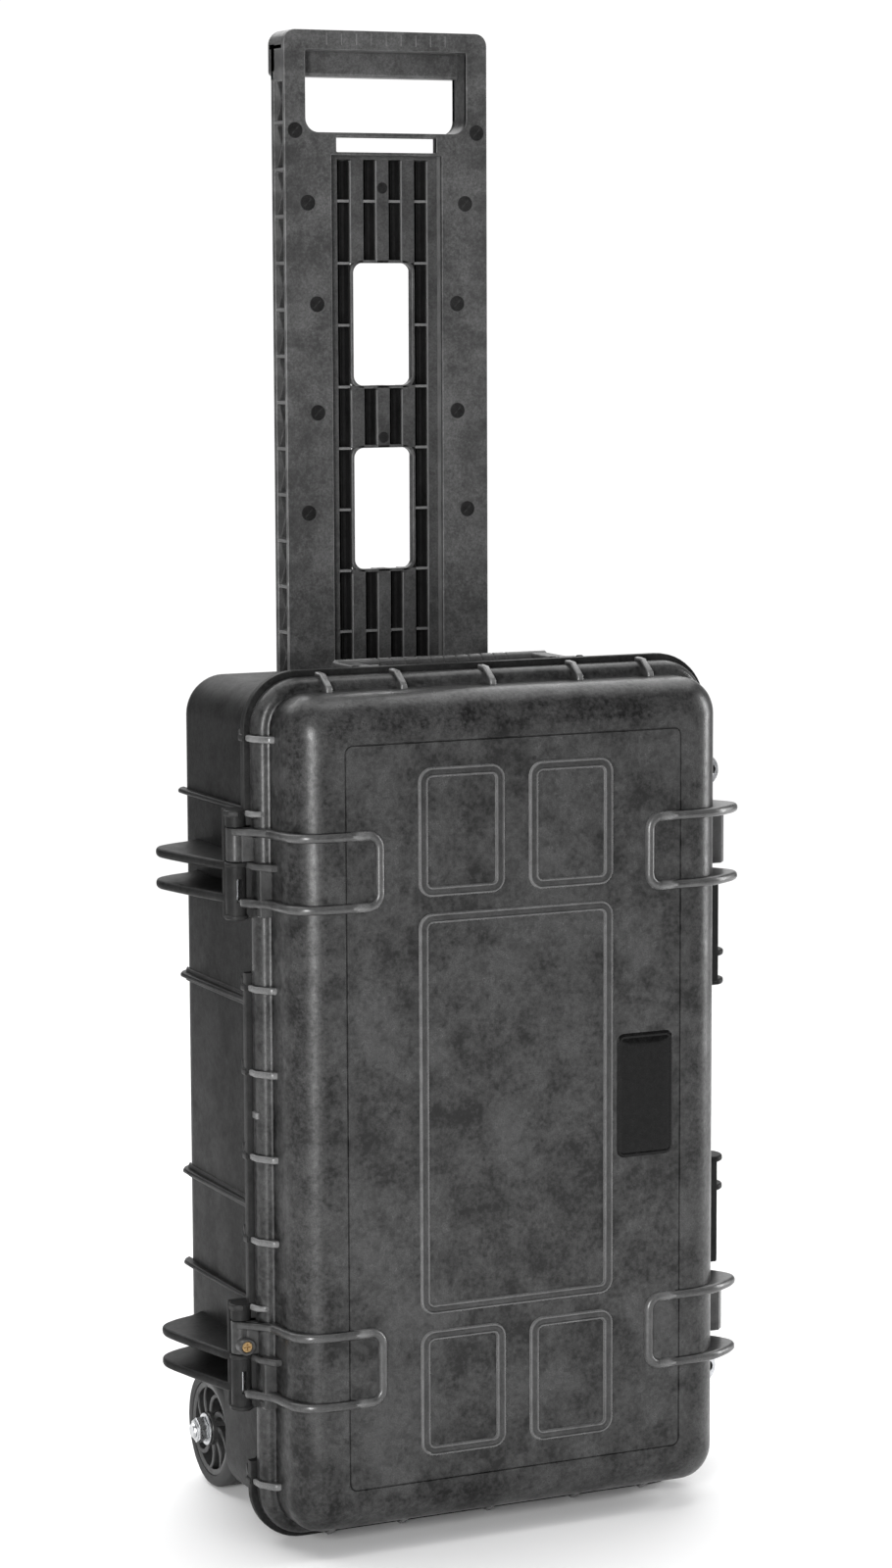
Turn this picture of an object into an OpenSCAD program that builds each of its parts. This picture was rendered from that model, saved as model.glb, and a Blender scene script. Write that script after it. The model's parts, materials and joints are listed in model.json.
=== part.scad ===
// Upright wheeled hard equipment case: deep base shell at the back, shallow
// lid at the front on two pinned hinges, two draw latches, two fold-flat carry
// handles, a pull-up trolley handle and two corner wheels.
// Sub-parts are drawn from the lid face (Y = 0) and the middle of the height
// (Z = 0). place() then puts the origin under the middle, on the ground.

/* [Shell] */
// Width over the closing flange
flange_w = 321; // [318:1:322]
// Height over the closing flange, which stands on the ground
flange_h = 549; // [546:1:560]
// Width of the lid body
lid_w = 296; // [280:1:300]
// Width of the base body
base_w = 300; // [284:1:304]
// Height of the lid and base bodies
body_h = 524; // [510:1:526]
// Depth of the lid, from its face to the seam
lid_d = 52; // [51:0.5:53]
// Depth of the case from the lid face to the base's back wall
case_d = 192; // [185:1:200]
// Wall thickness of both shells
wall = 4; // [3:0.5:5]
// Radius of the long front edges of the lid
edge_r = 24; // [16:1:26]

/* [Hinges and latches] */
// Distance of the hinge pin from the middle plane
hinge_x = 165; // [164.5:0.5:166]
// Depth of the hinge pin behind the lid face
hinge_y = 55; // [54.5:0.5:55.5]
// Radius of the hinge barrels
barrel_r = 6.2; // [6:0.1:6.6]
// Radius of the hinge pins
pin_r = 2.5; // [2:0.1:3]
// Height of each latch above or below the middle
latch_z = 155; // [150:1:160]
// Width of a latch
latch_w = 34; // [28:1:35]

/* [Trolley] */
// Width of the trolley handle
trolley_w = 144; // [130:1:144]
// Length of the trolley handle
trolley_h = 500; // [480:1:502]
// Travel from pulled out to pushed in
trolley_travel = 400; // [380:1:400]
// Depth of the trolley handle's shaft
trolley_t = 22; // [20:0.5:22]
// Depth of the grip block at its top
grip_t = 28; // [24:0.5:28]

/* [Wheels] */
// Radius of the wheels over the tyre
wheel_r = 38.5; // [36:0.5:38.5]
// Width of the tyres
wheel_w = 24; // [20:1:24]
// Radius of the axle bolts
axle_r = 5; // [4:0.5:5]

/* [Hidden] */
$fn = 64;
eps = 0.01;

// seam between the two shells
seam_gap = 0.4;
lid_back = lid_d - seam_gap / 2;
base_front = lid_d + seam_gap / 2;
flange_t = 5.3;
flange_r = 35;
rim_in = 4;
rim_w = flange_w - 2 * rim_in;
rim_h = flange_h - 2 * rim_in;
rim_front = lid_d - 10;
corner_r = 22;
base_corner_r = 25;
base_back_r = 20;
seal_w = 304;
seal_h = 532;
seal_r = 28;
groove_w = 5;
groove_d = 4.5;
gasket_w = 4.6;
gasket_t = 3.2;
tongue_w = 2.4;
tongue_d = 1.2;

// relief on the lid face
rib_h = 3;
rib_w = 5;
bead_h = 1.4;
bead_w = 4.4;
panel_w = 230.6;
panel_h = 465;
frame_w = 134;
frame_h = 252.6;
small_w = 58.7;
small_h = 80.5;
small_x = frame_w / 2 - small_w / 2;
small_z = 176.5;
rib_end = 93;
arm_z = [177, 133];
label_x = 90;
label_w = 40;
label_h = 80;
label_t = 1.2;

// rows of lugs round the rim
lug_t = 4.4;
side_lugs = [-234.5, -79.4, -26.6, 26.6, 79.4, 234.5];
latch_side_lugs = [-234.5, -26.6, 26.6, 234.5];
end_lugs = [-111, -61, 0, 61, 111];

// hinges: heights below the top of each hinge
hinge_top = [190.5, -119.5];
plate_t = 4.6;
knuckle_gap = 0.4;
knuckle_top = 11;
knuckle_bottom = 32;
ring_t = 2.6;
hinge_len = 68;
slot_z = 50;
slot_h = 14.5;
pin_slack = 0.05;
fin_t = 6;
fin_drop = [32.5, 52.5];
side_ribs = [187.5, 67.5, -62, -123];
rib_t = 2.6;

// latches
latch_px = 160;
latch_py = 73;
claw_px = 168.5;
claw_py = 79;
claw_pin_r = 2;
cheek_t = 6;
latch_half = latch_w / 2;
cheek_z = latch_half + 1.5 + cheek_t / 2;
claw_in = 164.8;
claw_t = 4;
eye_half = 9;
hook_x = flange_w / 2 - rim_in + 0.6;

// padlock tabs
tab_x = 157;
tab_z = 198;
tab_r = 10.5;
tab_hole_x = 161.5;
tab_hole_r = 4;
tab_t = 4.5;
tab_plate_t = 1.2;

// carry handles: [middle along the pivot, pivot outwards, pivot back, wall]
handle_half = 68.7;
arm_w = 13;
boss_r = 6;
bar_r = 6;
reach = 42;
handle_pin_r = 2.5;
lug_gap = 1;
ear_t = 4;
side_ear_r = 12.5;
side_mid = -2.3;
side_out = 168;
side_back = 65;
top_out = 269;
top_back = 68;
top_r = 5.2;

// trolley channel and handle
trolley_y = 190.7;
trolley_top = 672.5;
trolley_bottom = trolley_top - trolley_h;
channel_gap = 0.6;
rail_w = 12;
rail_back = 216.4;
rail_top = 250;
rail_bottom = -232;
lip_w = 7;
cover_z0 = 212;
cover_h = 26;
cover_t = 3;
stop_t = 2.6;
web_y = 198.5;
web_half = 39.2;
web_top = 593;
slot_half = 57;
slot_z0 = 607.5;
slot_z1 = 660;
slit_half = 35.5;
slit_z0 = 595;
slit_z1 = 605;
window_half = 20.9;
window_h = 79.5;
window_z = [444.5, 324.2];
rib_pitch = 40.1;
truss_pitch = 29.9;
grip_h = 29;
skin = 3;
pocket_d = 9;

// wheels and wells
wheel_y = 175.7;
wheel_z = -flange_h / 2 + wheel_r;
wheel_out = 140.6;
well_in = 113;
well_front = 121;
well_top = wheel_z + wheel_r + 4;
well_wall = 5;
hub_r = 31;
bush_r = 8;
spokes = 9;
bolt_end = 152.5;

// the whole object's depth, for the origin
mid_y = (trolley_y + grip_t - rib_h) / 2;

body_colour = [0.09, 0.09, 0.095];
trim_colour = [0.13, 0.13, 0.135];
steel_colour = [0.72, 0.73, 0.75];
brass_colour = [0.72, 0.55, 0.25];

module place() {
    translate([0, -mid_y, flange_h / 2]) children();
}

// rounded rectangle about the origin
module rrect(w, h, r) {
    square([w - 2 * r, h], center = true);
    square([w, h - 2 * r], center = true);
    for (sx = [-1, 1], sz = [-1, 1]) {
        translate([sx * (w / 2 - r), sz * (h / 2 - r)]) circle(r);
    }
}

// rounded slab facing the front, from depth y0 to y1
module slab(w, h, r, y0, y1) {
    translate([0, y1, 0]) rotate([90, 0, 0]) linear_extrude(y1 - y0) rrect(w, h, r);
}

// rounded frame facing the front, bar_w wide inside the outline
module frame(w, h, r, bar_w, y0, y1) {
    difference() {
        slab(w, h, r, y0, y1);
        slab(w - 2 * bar_w, h - 2 * bar_w, max(r - bar_w, 0.8), y0 - 1, y1 + 1);
    }
}

// section of a tray: X is the depth, Y the height, rounded at depth 0
module tray_section(h, d, r) {
    translate([r, -h / 2]) square([d - r, h]);
    translate([0, -h / 2 + r]) square([d, h - 2 * r]);
    for (s = [-1, 1]) translate([r, s * (h / 2 - r)]) circle(r);
}

// tray with its rounded face at depth 0
module tray(w, h, d, r_edge, r_corner) {
    intersection() {
        slab(w, h, r_corner, 0, d);
        translate([0, 0, -h / 2 - 1]) linear_extrude(h + 2) rotate(90) mirror([0, 1]) tray_section(w, d, r_edge);
        translate([-w / 2 - 1, 0, 0]) rotate([90, 0, 90]) linear_extrude(w + 2) tray_section(h, d, r_edge);
    }
}

// flat plate, t thick, about height z
module plate(z, t) {
    translate([0, 0, z - t / 2]) linear_extrude(t) children();
}

// upright cylinder between two heights
module post(x, y, z0, z1, r) {
    translate([x, y, z0]) cylinder(h = z1 - z0, r = r);
}

// bar along X between two places
module shaft(x0, x1, y, z, r) {
    translate([x0, y, z]) rotate([0, 90, 0]) cylinder(h = x1 - x0, r = r);
}

// ---- lid -------------------------------------------------------------------

module lid_arm_hinge_side() {
    polygon([[-rib_end, 8], [-rib_end, -rib_h], [-124, -rib_h], [-140, -0.5], [-149, 8], [-151.5, 18],
             [-152.5, rim_front + 2], [-140, rim_front + 2], [-120, 20]]);
}

module lid_arm_latch_side() {
    polygon([[rib_end, 8], [rib_end, -rib_h], [124, -rib_h], [142, 0.5], [155, 8], [164, 14.8],
             [166, 22], [162, 33], [155.5, rim_front + 1], [140, rim_front + 1], [120, 20]]);
    translate([160.5, 19]) circle(5.9);
}

module lid_lug() {
    polygon([[146, 26], [149, 26], [rim_w / 2 + 1, rim_front + 1], [rim_w / 2 + 1, lid_back], [146, lid_back]]);
}

module lid_end_lug() {
    polygon([[26, 260], [26, 263], [rim_front + 1, rim_h / 2 + 1], [lid_back, rim_h / 2 + 1], [lid_back, 260]]);
}

module lid_knuckle(top) {
    z1 = top - knuckle_top;
    z0 = top - knuckle_bottom;
    post(-hinge_x, hinge_y, z0, z1, barrel_r);
    translate([0, 0, z1 - plate_t]) linear_extrude(plate_t)
        polygon([[-150, 26], [-158, 38], [-hinge_x - 4, hinge_y - 5.5], [-hinge_x, lid_back], [-150, lid_back]]);
    translate([0, 0, z0]) linear_extrude(z1 - z0)
        polygon([[-154, 45], [-hinge_x, hinge_y - 6.1], [-hinge_x, lid_back], [-154, lid_back]]);
    // web that stiffens the lid beside the base's own knuckle
    translate([-155, 38, top - hinge_len + 2]) cube([3, lid_back - 38, hinge_len - knuckle_bottom]);
    translate([0, 0, top - knuckle_bottom - 3]) linear_extrude(plate_t) mirror([1, 0]) lid_lug();
}

module padlock_tab(y0, y1) {
    for (s = [-1, 1]) translate([tab_x, y1, s * tab_z]) rotate([90, 0, 0]) cylinder(h = y1 - y0, r = tab_r);
}

module padlock_holes(y0, y1) {
    for (s = [-1, 1]) translate([tab_hole_x, y1, s * tab_z]) rotate([90, 0, 0]) cylinder(h = y1 - y0, r = tab_hole_r);
}

module lid_outside() {
    tray(lid_w, body_h, lid_back, edge_r, corner_r);
    slab(rim_w, rim_h, flange_r - rim_in, rim_front, lid_back);
    for (s = [-1, 1], z = arm_z) {
        plate(s * z, rib_w) lid_arm_hinge_side();
        plate(s * z, rib_w) lid_arm_latch_side();
    }
    for (s = [-1, 1], sx = [-1, 1]) {
        translate([sx * rib_end - rib_w / 2, -rib_h, s * latch_z - 22]) cube([rib_w, rib_h + 2, 44]);
    }
    frame(frame_w, frame_h, 8, bead_w, -bead_h, 1);
    for (s = [-1, 1], sx = [-1, 1]) {
        translate([sx * small_x, 0, s * small_z]) frame(small_w, small_h, 8, bead_w, -bead_h, 1);
    }
    for (z = side_lugs) plate(z, lug_t) mirror([1, 0]) lid_lug();
    for (z = latch_side_lugs) plate(z, lug_t) lid_lug();
    for (top = hinge_top) plate(top - 2.4, lug_t) mirror([1, 0]) lid_lug();
    for (s = [-1, 1], x = end_lugs) {
        translate([x - lug_t / 2, 0, 0]) rotate([90, 0, 90]) linear_extrude(lug_t) mirror([0, s > 0 ? 0 : 1]) lid_end_lug();
    }
    padlock_tab(lid_back - tab_t, lid_back);
    for (top = hinge_top) lid_knuckle(top);
    // boss of the lock screw on the lower knuckle
    translate([-hinge_x, hinge_y, hinge_top[1] - 26]) rotate([90, 0, 0]) cylinder(h = 11, r = 5.4);
}

module lid_shell() {
    color(body_colour) difference() {
        lid_outside();
        // hollow of the lid
        translate([0, wall - 0.5, 0])
            tray(lid_w - 2 * wall + 1, body_h - 2 * wall + 1, lid_d, edge_r - wall, corner_r - wall);
        // groove of the seal
        frame(seal_w + groove_w, seal_h + groove_w, seal_r + groove_w / 2, groove_w,
              lid_back - groove_d, lid_back + 1);
        // fine outline of the face panel
        frame(panel_w, panel_h, 5, 0.9, -rib_h - 1, 0.7);
        // seat of the label plate
        translate([label_x, 0, 0]) slab(label_w, label_h, 4, -1, label_t);
        padlock_holes(lid_back - tab_t - 1, lid_back + 1);
        for (top = hinge_top) {
            post(-hinge_x, hinge_y, top - hinge_len - 1, top + 1, pin_r + pin_slack);
        }
        translate([-hinge_x, hinge_y - 3.4, hinge_top[1] - 26]) rotate([90, 0, 0]) cylinder(h = 12, r = 3.2);
        // room round the base's barrels
        for (top = hinge_top) {
            post(-hinge_x, hinge_y, top - knuckle_top, top + 1, barrel_r + 0.6);
            post(-hinge_x, hinge_y, top - hinge_len - 1, top - knuckle_bottom, barrel_r + 0.6);
        }
    }
}

module lid_gasket() {
    color([0.05, 0.05, 0.05])
        frame(seal_w + gasket_w, seal_h + gasket_w, seal_r + gasket_w / 2, gasket_w,
              lid_back - groove_d, lid_back - groove_d + gasket_t);
}

module label_plate() {
    color([0.02, 0.02, 0.02]) translate([label_x, 0, 0]) slab(label_w - 0.4, label_h - 0.4, 3.8, 0, label_t);
}

// ---- base ------------------------------------------------------------------

module fin_outline() {
    polygon([[148, 53], [162, 56], [171.5, 64], [186.2, 122], [187.4, 133], [183, 143],
             [171, 151], [155, 157], [148, 165]]);
    translate([178.3, 133]) circle(9.2);
}

module base_lug() {
    polygon([[148, base_front], [flange_w / 2, base_front], [flange_w / 2, 58], [151, 84], [148, 84]]);
}

module base_end_lug() {
    polygon([[base_front, 260], [base_front, flange_h / 2], [58, flange_h / 2], [80, 263], [80, 260]]);
}

// the two lugs under the arms of the top handle stop short of it
module base_short_end_lug() {
    polygon([[base_front, 260], [base_front, flange_h / 2], [58, flange_h / 2], [62, 272.4], [62, 260]]);
}

module side_rib() {
    polygon([[148, 56], [151, 58], [154.6, 170], [153.7, 180], [146, 186]]);
}

module base_hinge(top) {
    low = top - hinge_len;
    post(-hinge_x, hinge_y, top - knuckle_top + knuckle_gap, top, barrel_r);
    post(-hinge_x, hinge_y, low, top - knuckle_bottom - knuckle_gap, barrel_r);
    post(-hinge_x, hinge_y, top - knuckle_bottom - knuckle_gap - ring_t, top - knuckle_bottom - knuckle_gap, barrel_r + 0.5);
    post(-hinge_x, hinge_y, low, low + ring_t, barrel_r + 0.5);
    // webs from the barrels back to the wall, and the plate behind them
    for (z = [[top - knuckle_top + knuckle_gap, top], [low, top - knuckle_bottom - knuckle_gap]]) {
        translate([0, 0, z[0]]) linear_extrude(z[1] - z[0])
            polygon([[-148, base_front + 0.4], [-160, base_front + 0.4], [-hinge_x - 4, hinge_y + 3], [-169, 64], [-148, 67]]);
    }
    translate([0, 0, low]) linear_extrude(hinge_len) polygon([[-148, 63.6], [-170, 63.6], [-170, 66], [-148, 69]]);
}

module handle_ears(r) {
    for (s = [-1, 1], k = [-1, 1]) {
        translate([0, 0, s * handle_half + k * (arm_w / 2 + lug_gap + ear_t / 2) - ear_t / 2]) cylinder(h = ear_t, r = r);
    }
}

// foot of each ear, from the pivot in to the wall and forward to the flange
module ear_feet(r, depth, front) {
    for (s = [-1, 1], k = [-1, 1]) {
        translate([0, 0, s * handle_half + k * (arm_w / 2 + lug_gap + ear_t / 2) - ear_t / 2])
            linear_extrude(ear_t) polygon([[-depth, r + 6], [-depth, -front], [0, -front], [r, 0], [0, r]]);
    }
}

module pivot_holes(r) {
    translate([0, 0, -handle_half - arm_w]) cylinder(h = 2 * (handle_half + arm_w), r = r);
}

module at_side_handle() {
    translate([side_out, side_back, side_mid]) children();
}

module at_top_handle() {
    translate([0, top_back, top_out]) rotate([0, -90, 0]) children();
}

module latch_cheeks() {
    for (s = [-1, 1], k = [-1, 1]) plate(s * latch_z + k * cheek_z, cheek_t) fin_outline();
}

// wider strip of the flange from each latch to the ears of the side handle
module flange_shoulders() {
    near = handle_half - arm_w / 2 - lug_gap - ear_t;
    translate([150, base_front, side_mid + near]) cube([22, tab_t, 130 - side_mid - near]);
    translate([150, base_front, -130]) cube([22, tab_t, 130 + side_mid - near]);
}

module rails() {
    for (s = [-1, 1]) {
        x0 = trolley_w / 2 + channel_gap;
        translate([s > 0 ? x0 : -x0 - rail_w, case_d - wall, rail_bottom])
            cube([rail_w, rail_back - case_d + wall, rail_top - rail_bottom]);
        translate([s > 0 ? x0 - lip_w : -x0 - rail_w, trolley_y + trolley_t + channel_gap, rail_bottom])
            cube([rail_w + lip_w, rail_back - trolley_y - trolley_t - channel_gap, cover_z0 - 1 - rail_bottom]);
    }
    translate([-trolley_w / 2 - rail_w, case_d - wall, rail_bottom - 4])
        cube([trolley_w + 2 * rail_w, rail_back - case_d + wall, 4 - eps]);
}

module base_outside() {
    intersection() {
        slab(base_w, body_h, base_corner_r, base_front, case_d);
        translate([0, case_d, 0]) mirror([0, 1, 0]) tray(base_w, body_h, case_d, base_back_r, base_corner_r);
    }
    slab(flange_w, flange_h, flange_r, base_front, base_front + flange_t);
    frame(seal_w + tongue_w, seal_h + tongue_w, seal_r + tongue_w / 2, tongue_w,
          base_front - tongue_d, base_front + 1);
    for (z = side_lugs) plate(z, lug_t) mirror([1, 0]) base_lug();
    for (z = latch_side_lugs) plate(z, lug_t) base_lug();
    for (s = [-1, 1], x = end_lugs) {
        translate([x - lug_t / 2, 0, 0]) rotate([90, 0, 90]) linear_extrude(lug_t) mirror([0, s > 0 ? 0 : 1]) {
            if (s > 0 && abs(x) == end_lugs[3]) base_short_end_lug();
            else base_end_lug();
        }
    }
    for (z = side_ribs, s = [-1, 1]) plate(z, rib_t) mirror([s > 0 ? 0 : 1, 0]) side_rib();
    for (top = hinge_top, d = fin_drop) plate(top - d - fin_t / 2, fin_t) mirror([1, 0]) fin_outline();
    latch_cheeks();
    flange_shoulders();
    padlock_tab(base_front, base_front + tab_t);
    at_side_handle() {
        handle_ears(side_ear_r);
        ear_feet(side_ear_r, 20, 12);
    }
    at_top_handle() {
        handle_ears(top_r + 0.3);
        ear_feet(top_r + 0.3, 9, 14);
    }
    rails();
}

// room for the wheels at the two lower back corners
module wheel_well(s) {
    translate([s > 0 ? well_in : -base_w, well_front, -body_h])
        cube([base_w - well_in, case_d, body_h + well_top]);
}

module base_hollow() {
    difference() {
        slab(base_w - 2 * wall, body_h - 2 * wall, base_corner_r - wall, base_front - 5, trolley_y - 1 - wall);
        // walls left standing round the wheel wells
        for (s = [-1, 1]) {
            translate([s > 0 ? well_in - well_wall : -base_w, well_front - wall, -body_h])
                cube([base_w - well_in + well_wall, case_d, body_h + well_top + wall]);
        }
    }
}

module base_shell() {
    color(body_colour) difference() {
        union() {
            difference() {
                base_outside();
                base_hollow();
                // the flange is cut away round the hinges
                for (top = hinge_top) {
                    translate([-flange_w / 2 - 2, 0, top - hinge_len - 34]) cube([8.5, base_front + 7, hinge_len + 32]);
                }
                for (s = [-1, 1]) wheel_well(s);
                // channel of the trolley handle
                translate([-trolley_w / 2 - channel_gap, trolley_y - 1, rail_bottom])
                    cube([trolley_w + 2 * channel_gap, trolley_t + 1 + channel_gap, body_h]);
                // seat of the cover plate
                translate([-trolley_w / 2 - rail_w - 1, rail_back - cover_t, cover_z0 - 0.2])
                    cube([trolley_w + 2 * rail_w + 2, cover_t + 1, rail_top - cover_z0 + 1]);
            }
            for (top = hinge_top) base_hinge(top);
        }
        for (top = hinge_top) {
            post(-hinge_x, hinge_y, top - hinge_len + 2, top + 1, pin_r);
            // room for the lid's knuckle
            post(-hinge_x, hinge_y, top - knuckle_bottom - knuckle_gap, top - knuckle_top + knuckle_gap, barrel_r + 1.2);
            // window that shows the pin
            translate([-hinge_x - 1.6, hinge_y - barrel_r - 2, top - slot_z - slot_h / 2]) cube([3.2, 6, slot_h]);
        }
        // bores of the latch pins and room for the levers
        for (s = [-1, 1]) {
            post(latch_px, latch_py, s * latch_z - latch_half - 9, s * latch_z + latch_half + 9, pin_r);
        }
        at_side_handle() pivot_holes(handle_pin_r);
        at_top_handle() pivot_holes(handle_pin_r);
        for (s = [-1, 1]) {
            x0 = s > 0 ? well_in - well_wall - 1 : -well_in - 1;
            shaft(x0, x0 + well_wall + 2, wheel_y, wheel_z, axle_r);
        }
        cover_screw_holes(1.5);
        padlock_holes(base_front - 1, base_front + tab_t + 1);
    }
}

// ---- hinge and latch hardware ------------------------------------------------

module hinge_pin(top) {
    color(steel_colour) post(-hinge_x, hinge_y, top - hinge_len + 2, top - 0.5, pin_r);
}
module hinge_pin_upper() { hinge_pin(hinge_top[0]); }
module hinge_pin_lower() { hinge_pin(hinge_top[1]); }

module hinge_lock_screw() {
    color(brass_colour) translate([-hinge_x, hinge_y - 3.4, hinge_top[1] - 26]) rotate([90, 0, 0]) difference() {
        cylinder(h = 7, r = 3.2);
        for (a = [0, 90]) rotate(a) translate([-2.2, -0.4, 6]) cube([4.4, 0.8, 2]);
    }
}

module latch_lever(s) {
    z = s * latch_z;
    color(trim_colour) difference() {
        union() {
            post(latch_px, latch_py, z - latch_half, z + latch_half, 4);
            for (k = [-1, 1]) plate(z + k * (latch_half - 3.5), 7)
                polygon([[157, 75], [163, 70], [170, 75], [173, 79], [171, 84], [168, 99], [162, 99], [158, 85]]);
            plate(z, latch_w) polygon([[162, 89], [168.5, 87], [168.5, 105], [171.5, 111], [170.5, 113.5], [166, 111], [162, 105]]);
        }
        post(latch_px, latch_py, z - latch_w, z + latch_w, pin_r + pin_slack);
        post(claw_px, claw_py, z - latch_w, z + latch_w, claw_pin_r);
        post(claw_px, claw_py, z - eye_half - 1, z + eye_half + 1, 4.8);
    }
}
module latch_lever_upper() { latch_lever(1); }
module latch_lever_lower() { latch_lever(-1); }

module latch_claw(s) {
    z = s * latch_z;
    color(body_colour) difference() {
        union() {
            post(claw_px, claw_py, z - eye_half, z + eye_half, 4.1);
            plate(z, 2 * eye_half) translate([claw_in, 65]) square([claw_t, claw_py - 65]);
            plate(z, latch_w)
                polygon([[claw_in, 67], [claw_in, 41.6], [hook_x, 41.2], [hook_x, 37.6], [165.4, 37.2],
                         [claw_in + claw_t, 41], [claw_in + claw_t, 67]]);
        }
        post(claw_px, claw_py, z - latch_w, z + latch_w, claw_pin_r + pin_slack);
    }
}
module latch_claw_upper() { latch_claw(1); }
module latch_claw_lower() { latch_claw(-1); }

module latch_pin(s) {
    z = s * latch_z;
    color(steel_colour) post(latch_px, latch_py, z - latch_half - 8, z + latch_half + 8, pin_r);
}
module latch_pin_upper() { latch_pin(1); }
module latch_pin_lower() { latch_pin(-1); }

module claw_pin(s) {
    z = s * latch_z;
    color(steel_colour) post(claw_px, claw_py, z - latch_half, z + latch_half, claw_pin_r);
}
module claw_pin_upper() { claw_pin(1); }
module claw_pin_lower() { claw_pin(-1); }

module padlock_plate(s) {
    y1 = lid_back - tab_t;
    color(steel_colour) difference() {
        translate([tab_x, y1, s * tab_z]) rotate([90, 0, 0]) cylinder(h = tab_plate_t, r = tab_r);
        translate([tab_hole_x, y1 + 1, s * tab_z]) rotate([90, 0, 0]) cylinder(h = tab_plate_t + 2, r = tab_hole_r);
        translate([0, y1 - 5, s * tab_z - tab_r]) cube([rim_w / 2 + 0.2, 10, 2 * tab_r]);
    }
}
module padlock_plate_upper() { padlock_plate(1); }
module padlock_plate_lower() { padlock_plate(-1); }

// ---- carry handles -----------------------------------------------------------

module carry_handle(boss, bar) {
    difference() {
        union() {
            for (s = [-1, 1]) {
                translate([0, 0, s * handle_half - arm_w / 2]) cylinder(h = arm_w, r = boss);
                translate([-boss + 1, 0, s * handle_half - arm_w / 2]) cube([2 * boss - 2, reach, arm_w]);
            }
            translate([0, reach, -handle_half - arm_w / 2]) cylinder(h = 2 * handle_half + arm_w, r = bar);
        }
        translate([0, 0, -handle_half - arm_w]) cylinder(h = 2 * (handle_half + arm_w), r = handle_pin_r + pin_slack);
    }
}

module handle_pins() {
    for (s = [-1, 1]) {
        translate([0, 0, s * handle_half - arm_w / 2 - lug_gap - ear_t]) cylinder(h = arm_w + 2 * (lug_gap + ear_t), r = handle_pin_r);
    }
}

module side_handle() { color(trim_colour) at_side_handle() carry_handle(boss_r, bar_r); }
module side_handle_pins() { color(steel_colour) at_side_handle() handle_pins(); }
module top_handle() { color(trim_colour) at_top_handle() carry_handle(top_r - 0.2, top_r - 0.2); }
module top_handle_pins() { color(steel_colour) at_top_handle() handle_pins(); }

// ---- trolley -----------------------------------------------------------------

module trolley_block(x0, x1, y0, y1, z0, z1) {
    translate([x0, y0, z0]) cube([x1 - x0, y1 - y0, z1 - z0]);
}

// hollow side of the shaft with its cross ribs left standing
module truss_pockets() {
    count = floor((trolley_top - grip_h - trolley_bottom - 8) / truss_pitch);
    for (s = [-1, 1], i = [0 : count - 1]) {
        z1 = trolley_top - grip_h - 1.5 - i * truss_pitch;
        x0 = trolley_w / 2 - pocket_d;
        mirror([s > 0 ? 0 : 1, 0, 0])
            trolley_block(x0, x0 + pocket_d + 1, trolley_y + skin, trolley_y + trolley_t - skin, z1 - truss_pitch + 2.2, z1);
    }
}

// channels in the web with their cross ribs left standing
module web_channels() {
    count = ceil((web_top - trolley_bottom) / rib_pitch);
    for (x = [-27.4, -9, 9, 27.4], i = [0 : count - 1]) {
        z1 = web_top - 2 - i * rib_pitch + (i == 0 ? 0 : 10.6);
        z0 = max(web_top - i * rib_pitch - rib_pitch + 12.2, trolley_bottom + 8);
        if (z1 > z0) trolley_block(x - 4.5, x + 4.5, web_y - 1, web_y + 9, z0, z1);
    }
}

module trolley_handle() {
    y1 = trolley_y + trolley_t;
    half = trolley_w / 2;
    color(trim_colour) difference() {
        union() {
            trolley_block(-half, half, trolley_y, y1, trolley_bottom, trolley_top - 10);
            trolley_block(-half, half, trolley_y, trolley_y + grip_t, trolley_top - grip_h, trolley_top - 10);
            trolley_block(-half + 10, half - 10, trolley_y, trolley_y + grip_t, trolley_top - 11, trolley_top);
            for (s = [-1, 1]) translate([s * (half - 10), trolley_y + grip_t, trolley_top - 10])
                rotate([90, 0, 0]) cylinder(h = grip_t, r = 10);
            // block that stops under the cover plate
            trolley_block(-30, 30, y1 - 1, y1 + stop_t, trolley_bottom, cover_z0 - 0.6);
        }
        trolley_block(-web_half, web_half, trolley_y - 1, web_y, trolley_bottom - 1, web_top);
        trolley_block(-slot_half, slot_half, trolley_y - 1, y1 + 9, slot_z0, slot_z1 - 16.6);
        trolley_block(-slot_half, slot_half, trolley_y - 1, trolley_y + 14, slot_z1 - 17, slot_z1);
        trolley_block(-slit_half, slit_half, trolley_y - 1, y1 + 1, slit_z0, slit_z1);
        for (z = window_z) translate([0, 0, z + window_h / 2]) slab(2 * window_half, window_h, 6, trolley_y - 1, y1 + 1);
        truss_pockets();
        web_channels();
    }
}

module cover_screw_holes(r) {
    for (s = [-1, 1], z = [cover_z0 + 6, cover_z0 + cover_h - 6]) {
        translate([s * (trolley_w / 2 + channel_gap + rail_w / 2), rail_back + 1, z])
            rotate([90, 0, 0]) cylinder(h = 13, r = r);
    }
}

module trolley_cover() {
    w = trolley_w + 2 * (channel_gap + rail_w);
    color(trim_colour) difference() {
        trolley_block(-w / 2, w / 2, rail_back - cover_t, rail_back, cover_z0, cover_z0 + cover_h);
        cover_screw_holes(1.5);
    }
}

module trolley_cover_screws() {
    color(steel_colour) for (s = [-1, 1], z = [cover_z0 + 6, cover_z0 + cover_h - 6]) {
        translate([s * (trolley_w / 2 + channel_gap + rail_w / 2), rail_back, z]) {
            rotate([90, 0, 0]) cylinder(h = 12, r = 1.5);
            translate([0, 1.6, 0]) rotate([90, 0, 0]) cylinder(h = 1.6, r = 3);
        }
    }
}

// ---- wheels ------------------------------------------------------------------

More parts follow.
